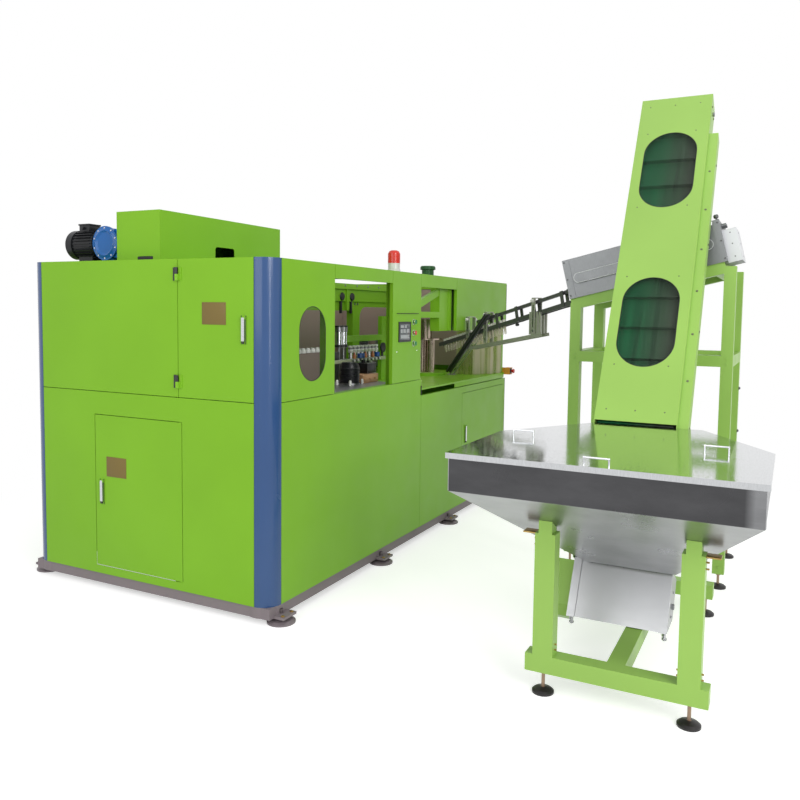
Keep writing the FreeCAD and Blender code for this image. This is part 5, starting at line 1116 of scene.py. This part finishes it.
class MACHINE_OT_rail_fittings(bpy.types.Operator):
    """Fittings, couplings and plugs on the valve rail behind the front opening"""
    bl_idname = "machine.rail_fittings"
    bl_label = "Valve rail"

    def execute(self, context):
        front, middle, top = 0.560, 0.580, 1.353
        white = Shape()
        rail = Shape()
        for index in range(8):
            x = 1.810 + 0.058 * index
            white.turned([(0.0, 0.0), (0.0180, 0.0), (0.0200, 0.004), (0.0200, 0.022), (0.0150, 0.028), (0.0150, 0.038),
                          (0.0190, 0.041), (0.0190, 0.052), (0.0, 0.055)], cab(x, middle, top + 0.046), (0, 0, 1), 20)
            white.rod(cab(x, front - 0.017, 1.339), cab(x, front - 0.024, 1.339), 0.009, segments=16, bevel=0.001)
            rail.turned([(0.0, 0.0), (0.0125, 0.0), (0.0125, 0.010), (0.0145, 0.012), (0.0145, 0.020), (0.0125, 0.022),
                         (0.0125, 0.046), (0.0, 0.046)], cab(x, middle, top), (0, 0, 1), 16)
        white.finish("rail_fittings_white", stock("white_plastic"))
        rail.finish("rail_fittings_metal", stock("chrome"))
        copper = Shape()
        for x in (1.845, 2.020, 2.135):
            copper.box(cab(x - 0.013, front - 0.004, top), cab(x + 0.013, front + 0.014, top + 0.030), 0.0015)
            copper.rod(cab(x, front + 0.004, top + 0.028), cab(x, front + 0.004, top + 0.046), 0.007, segments=12)
        copper.finish("rail_fittings_copper", stock("copper"))
        blue = Shape()
        for x, wide in ((1.905, 0.046), (1.960, 0.022), (2.185, 0.044)):
            blue.box(cab(x, front - 0.010, top), cab(x + wide, front + 0.012, top + 0.037), 0.002)
        blue.finish("rail_blocks_blue", stock("blue_plastic"))
        black = Shape()
        for x in (1.640, 1.705):
            black.turned([(0.0285, 0.0), (0.0330, 0.002), (0.0330, 0.020), (0.0285, 0.022)],
                         cab(x, middle, top + 0.094), (0, 0, 1), 28)
            black.turned([(0.0, 0.0), (0.0330, 0.0), (0.0330, 0.010), (0.012, 0.012), (0.0, 0.012)],
                         cab(x, middle, top + 0.246), (0, 0, 1), 28)
        black.finish("cylinder_collars", stock("black_plastic"))
        bright = Shape()
        for x in (1.640, 1.705):
            bright.turned([(0.0, 0.0), (0.0278, 0.0), (0.0278, 0.095), (0.0, 0.095)], cab(x, middle, top + 0.116),
                          (0, 0, 1), 32)
        bright.finish("cylinder_barrels", stock("chrome"))
        dark = Shape()
        for x in (1.30, 1.42, 1.55):
            dark.box(cab(x, front + 0.004, top - 0.001), cab(x + 0.07, front + 0.036, top + 0.060), 0.003)
        dark.turned([(0.0, 0.0), (0.040, 0.0), (0.040, 0.012), (0.030, 0.016), (0.0, 0.016)],
                    cab(2.300, front + 0.004, top + 0.072), (0, -1, 0), 28)
        dark.rod(cab(2.300, front + 0.006, top), cab(2.300, front + 0.006, top + 0.072), 0.010, segments=12)
        dark.finish("rail_dark_fittings", stock("black_plastic"))
        apron = Shape()
        apron.box(cab(1.040, 0.548, 1.1905), cab(1.445, 0.556, 1.425), 0.002)
        for x in (1.045, 1.425):
            apron.box(cab(x, 0.550, 1.1905), cab(x + 0.014, 0.610, 1.415), 0.002)
        apron.finish("rail_apron", stock("apron_brown"))
        heads = Shape()
        for index in range(7):
            heads.turned([(0.0, 0.0), (0.0170, 0.0), (0.0190, 0.004), (0.0190, 0.020), (0.0140, 0.026), (0.0140, 0.034),
                          (0.0, 0.036)], cab(1.068 + 0.058 * index, 0.552, 1.425), (0, 0, 1), 20)
        heads.finish("apron_fittings", stock("white_plastic"))
        strip = Shape()
        strip.box(cab(1.301, front - 0.0012, 1.3255), cab(2.374, front + 0.0006, 1.3525), 0.0004)
        strip.finish("rail_face", stock("rail_beige"))
        knobs = Shape()
        for x in (1.770, 2.020, 2.130):
            knobs.turned([(0.0, 0.0), (0.010, 0.0), (0.014, 0.006), (0.014, 0.020), (0.010, 0.026), (0.0, 0.026)],
                         cab(x, middle, 1.325), (0, 0, -1), 20)
        knobs.finish("rail_lower_knobs", stock("white_plastic"))
        return {"FINISHED"}


class MACHINE_OT_drive_casing(bpy.types.Operator):
    """Dark casing of the drive motor and the covers of the gripper block beside it"""
    bl_idname = "machine.drive_casing"
    bl_label = "Drive motor"

    def execute(self, context):
        x, y, low = 1.500, 0.400, 1.190
        shell = Shape()
        profile = [(0.0, 0.012), (0.0765, 0.012), (0.0765, 0.014), (0.0705, 0.016)]
        for index in range(8):
            z = 0.022 + 0.013 * index
            profile += [(0.0705, z), (0.0740, z + 0.003), (0.0740, z + 0.006), (0.0705, z + 0.009)]
        profile += [(0.0700, 0.132), (0.0560, 0.1595), (0.0, 0.1595)]
        shell.turned(profile, cab(x, y, low), (0, 0, 1), 40)
        shell.finish("drive_motor_casing", stock("black_paint"))
        feet = Shape()
        for dx, dy in ((-0.085, -0.055), (0.085, -0.055), (-0.085, 0.055), (0.085, 0.055)):
            feet.turned([(0.0, 0.0), (0.010, 0.0), (0.010, 0.030), (0.006, 0.036), (0.0, 0.036)],
                        cab(x + dx, y + dy, low), (0, 0, 1), 14)
        feet.finish("drive_motor_studs", stock("white_plastic"))
        block = Shape()
        block.box(cab(1.5832, 0.3392, low), cab(1.8208, 0.4908, low + 0.0628), 0.003)
        for dx in (0.03, 0.11, 0.19):
            block.bolt(cab(1.5832 + dx, 0.3392, low + 0.030), (0, -1, 0), 0.007)
        block.finish("gripper_cover", stock("block_brass"))
        head = Shape()
        head.box(cab(1.7272, 0.3792, low + 0.062), cab(1.8588, 0.4908, low + 0.1408), 0.004)
        head.rod(cab(1.76, 0.435, low + 0.140), cab(1.76, 0.435, low + 0.165), 0.016, segments=18, bevel=0.002)
        head.rod(cab(1.83, 0.435, low + 0.140), cab(1.83, 0.435, low + 0.155), 0.012, segments=18, bevel=0.002)
        head.finish("gripper_head_cover", stock("black_paint"))
        return {"FINISHED"}


class MACHINE_OT_portal_fittings(bpy.types.Operator):
    """Oval lugs, a pale edge lining of painted light on the arch's jamb, and bolts of the portal"""
    bl_idname = "machine.portal_fittings"
    bl_label = "Portal fittings"

    def execute(self, context):
        lugs = Shape()
        for x in (2.140, 2.300):
            lugs.turned([(0.0, 0.0), (0.030, 0.0), (0.034, 0.005), (0.030, 0.012), (0.0, 0.014)],
                        cab(x, 0.862, 1.838), (0, -1, 0), 28)
            lugs.box(cab(x - 0.011, 0.862, 1.700), cab(x + 0.011, 0.879, 1.812), 0.002)
        lugs.finish("portal_lugs", stock("black_plastic"))
        # painted light: a pale copy of the cabinet green laid on the right arch's jamb and along its curve, as if lit
        lining = Shape()
        lining.box(cab(2.4660, 0.8815, 1.196), cab(2.4672, 0.9385, 1.654), 0.0004)
        for index in range(8):
            first, second = math.pi - math.pi / 16 * index, math.pi - math.pi / 16 * (index + 1)
            a = cab(2.566 + 0.0996 * math.cos(first), 0, 1.656 + 0.0996 * math.sin(first))
            b = cab(2.566 + 0.0996 * math.cos(second), 0, 1.656 + 0.0996 * math.sin(second))
            inward = Vector((2.566 + DOOR_END, 0, 1.656)) - (a + b) / 2
            inward = inward.normalized() * 0.0012
            lining.plate([(p.x, 0.8815, p.z) for p in (a, b, b + inward, a + inward)], (0, 0.057, 0))
        lining.finish("portal_edge_painted_light", stock("lit_edge_paint"))
        bolts = Shape()
        for x in (1.36, 1.42, 2.385, 2.430):
            for z in (1.24, 1.32, 1.78):
                bolts.bolt(cab(x, 0.880 if z < 1.8 else 0.862, z), (0, -1, 0), 0.008)
        for index in range(10):
            bolts.bolt(cab(1.40 + 0.19 * index, 0.840, 1.930), (0, -1, 0), 0.007)
        bolts.finish("portal_bolts", stock("machined"))
        return {"FINISHED"}


class MACHINE_OT_linings(bpy.types.Operator):
    """Bare inner linings, the ledge's apron, the hanger's flange, and dark strips of painted shade in the open seams"""
    bl_idname = "machine.linings"
    bl_label = "Inner linings"

    def execute(self, context):
        shape = Shape()
        shape.box(cab(0.14, 1.7762, 1.225), cab(3.665, 1.7778, 1.940), 0.0)
        shape.box(cab(3.6672, 0.090, 1.200), cab(3.6688, 1.7784, 1.940), 0.0)
        shape.finish("inner_linings", stock("lining"))
        apron = Shape()
        apron.box((2.404, 0.0005, 1.1035), (3.606, 0.0035, 1.1385), 0.0008)
        apron.finish("ledge_apron", stock("cabinet_paint"))
        flange = Shape()
        flange.box((2.356, 0.0462, 1.5715), (2.500, 0.0506, 1.9450), 0.0008)
        flange.finish("hanger_flange", stock("cabinet_paint"))
        # painted shade: a dark strip for the gap in the hanger's flange
        gap = Shape()
        gap.box((2.4170, 0.0454, 1.5720), (2.4400, 0.0466, 1.9445), 0.0002)
        gap.finish("hanger_gap_painted_shade", stock("dark_rubber_and_painted_shade"))
        # painted shade: dark strips for the open seam at the infeed end's front corner
        seal = Shape()
        seal.box((INFEED_END - 0.0065, -0.0012, 0.130), (INFEED_END - 0.0015, 0.0006, 1.100), 0.0004)
        seal.box((INFEED_END - 0.0065, -0.0012, 1.640), (INFEED_END - 0.0015, 0.0006, 1.990), 0.0004)
        seal.finish("end_corner_painted_shade", stock("dark_rubber_and_painted_shade"))
        # painted shade: a dark strip for the open seam along the roof's edge
        roof_gap = Shape()
        roof_gap.box((-0.0308, 0.086, 1.9862), (0.0008, 1.790, 1.9898), 0.0004)
        roof_gap.finish("roof_gap_painted_shade", stock("dark_rubber_and_painted_shade"))
        return {"FINISHED"}


class MACHINE_OT_hopper_trim(bpy.types.Operator):
    """Corner welds of the hopper's tank"""
    bl_idname = "machine.hopper_trim"
    bl_label = "Hopper trim"

    def execute(self, context):
        y = -1.780
        front, end, half = -0.270, 0.430, 0.628
        welds = Shape()
        for x, dy in ((front, -half), (front, half), (end, half), (end, -half)):
            out = Vector((-1 if x < 0 else 0.4, 1 if dy > 0 else -1, 0)).normalized() * 0.0004
            base = cab(x, y + dy, 0) + out
            welds.rod(base + Vector((0, 0, 0.948)), base + Vector((0, 0, 1.088)), 0.0022, segments=8)
        welds.finish("tank_corner_welds", stock("bright_sheet"))
        return {"FINISHED"}


class MACHINE_OT_cabinet_fixings(bpy.types.Operator):
    """Screws of the ledge and the roof, bolts of the floor lugs and a dark plate of painted shade in the duct's slot"""
    bl_idname = "machine.cabinet_fixings"
    bl_label = "Cabinet fixings"

    def execute(self, context):
        radius = sizes().screw_radius
        screws = Shape()
        for x in (1.93, 2.25, 2.75, 3.20, 3.55):
            screws.screw(cab(x, 0.030, 1.150), (0, 0, 1), radius)
        for x in (0.75, 1.05, 1.35):
            screws.screw(cab(x, 0.060, 1.998), (0, 0, 1), radius)
        screws.finish("ledge_screws", stock("screw_dull"))
        bolts = Shape()
        for x in (0.0, 1.160, 2.320, 3.539):
            for dx in (-0.042, 0.042):
                for y in (-0.040, 1.893):
                    bolts.bolt((x + dx, y, 0.051), (0, 0, 1), 0.0085)
        bolts.finish("lug_bolts", stock("brass"))
        roof = Shape()
        for x in (0.16, 0.60, 1.04, 1.24):
            for y in (0.852, 1.212):
                roof.screw(cab(x, y, 1.998), (0, 0, 1), radius)
        roof.box(cab(0.150, 0.845, 1.998), cab(0.215, 0.8595, 2.012), 0.0015)
        roof.finish("roof_screws", stock("screw_dull"))
        # painted shade: a dark plate stands for the shade inside the duct's slot
        vent = Shape()
        vent.box(cab(0.098, 0.915, 2.004), cab(0.1005, 1.035, 2.026), 0.001)
        vent.finish("duct_slot_shade", stock("dark_rubber_and_painted_shade"))
        return {"FINISHED"}


OPERATORS = (
    MACHINE_OT_stage, MACHINE_OT_finishes,
    MACHINE_OT_door_plates, MACHINE_OT_latches, MACHINE_OT_window_gasket, MACHINE_OT_operator_panel,
    MACHINE_OT_stop_station, MACHINE_OT_blower_fittings, MACHINE_OT_beacon_trim,
    MACHINE_OT_elevator_screws, MACHINE_OT_tail_trim, MACHINE_OT_feeder_bolts, MACHINE_OT_stand_bolts,
    MACHINE_OT_unscrambler_trim, MACHINE_OT_preforms, MACHINE_OT_chute_fittings,
    MACHINE_OT_rail_fittings, MACHINE_OT_drive_casing, MACHINE_OT_portal_fittings, MACHINE_OT_linings,
    MACHINE_OT_hopper_trim, MACHINE_OT_cabinet_fixings,
)


class MACHINE_PT_panel(bpy.types.Panel):
    """Steps that dress the machine"""
    bl_idname = "MACHINE_PT_panel"
    bl_label = "Blow moulding machine"
    bl_space_type = "VIEW_3D"
    bl_region_type = "UI"
    bl_category = "Machine"

    def draw(self, context):
        for operator in OPERATORS:
            self.layout.operator(operator.bl_idname)
        for group in (context.scene.machine_colours, context.scene.machine_sizes):
            for name in group.__annotations__:
                self.layout.prop(group, name)


CLASSES = (MachineColours, MachineSizes, *OPERATORS, MACHINE_PT_panel)


def register():
    for item in CLASSES:
        bpy.utils.register_class(item)
    bpy.types.Scene.machine_colours = bpy.props.PointerProperty(type=MachineColours)
    bpy.types.Scene.machine_sizes = bpy.props.PointerProperty(type=MachineSizes)


def unregister():
    del bpy.types.Scene.machine_sizes
    del bpy.types.Scene.machine_colours
    for item in reversed(CLASSES):
        bpy.utils.unregister_class(item)


def main():
    register()
    for operator in OPERATORS:
        group, name = operator.bl_idname.split(".")
        getattr(getattr(bpy.ops, group), name)()


if __name__ == "__main__":
    main()
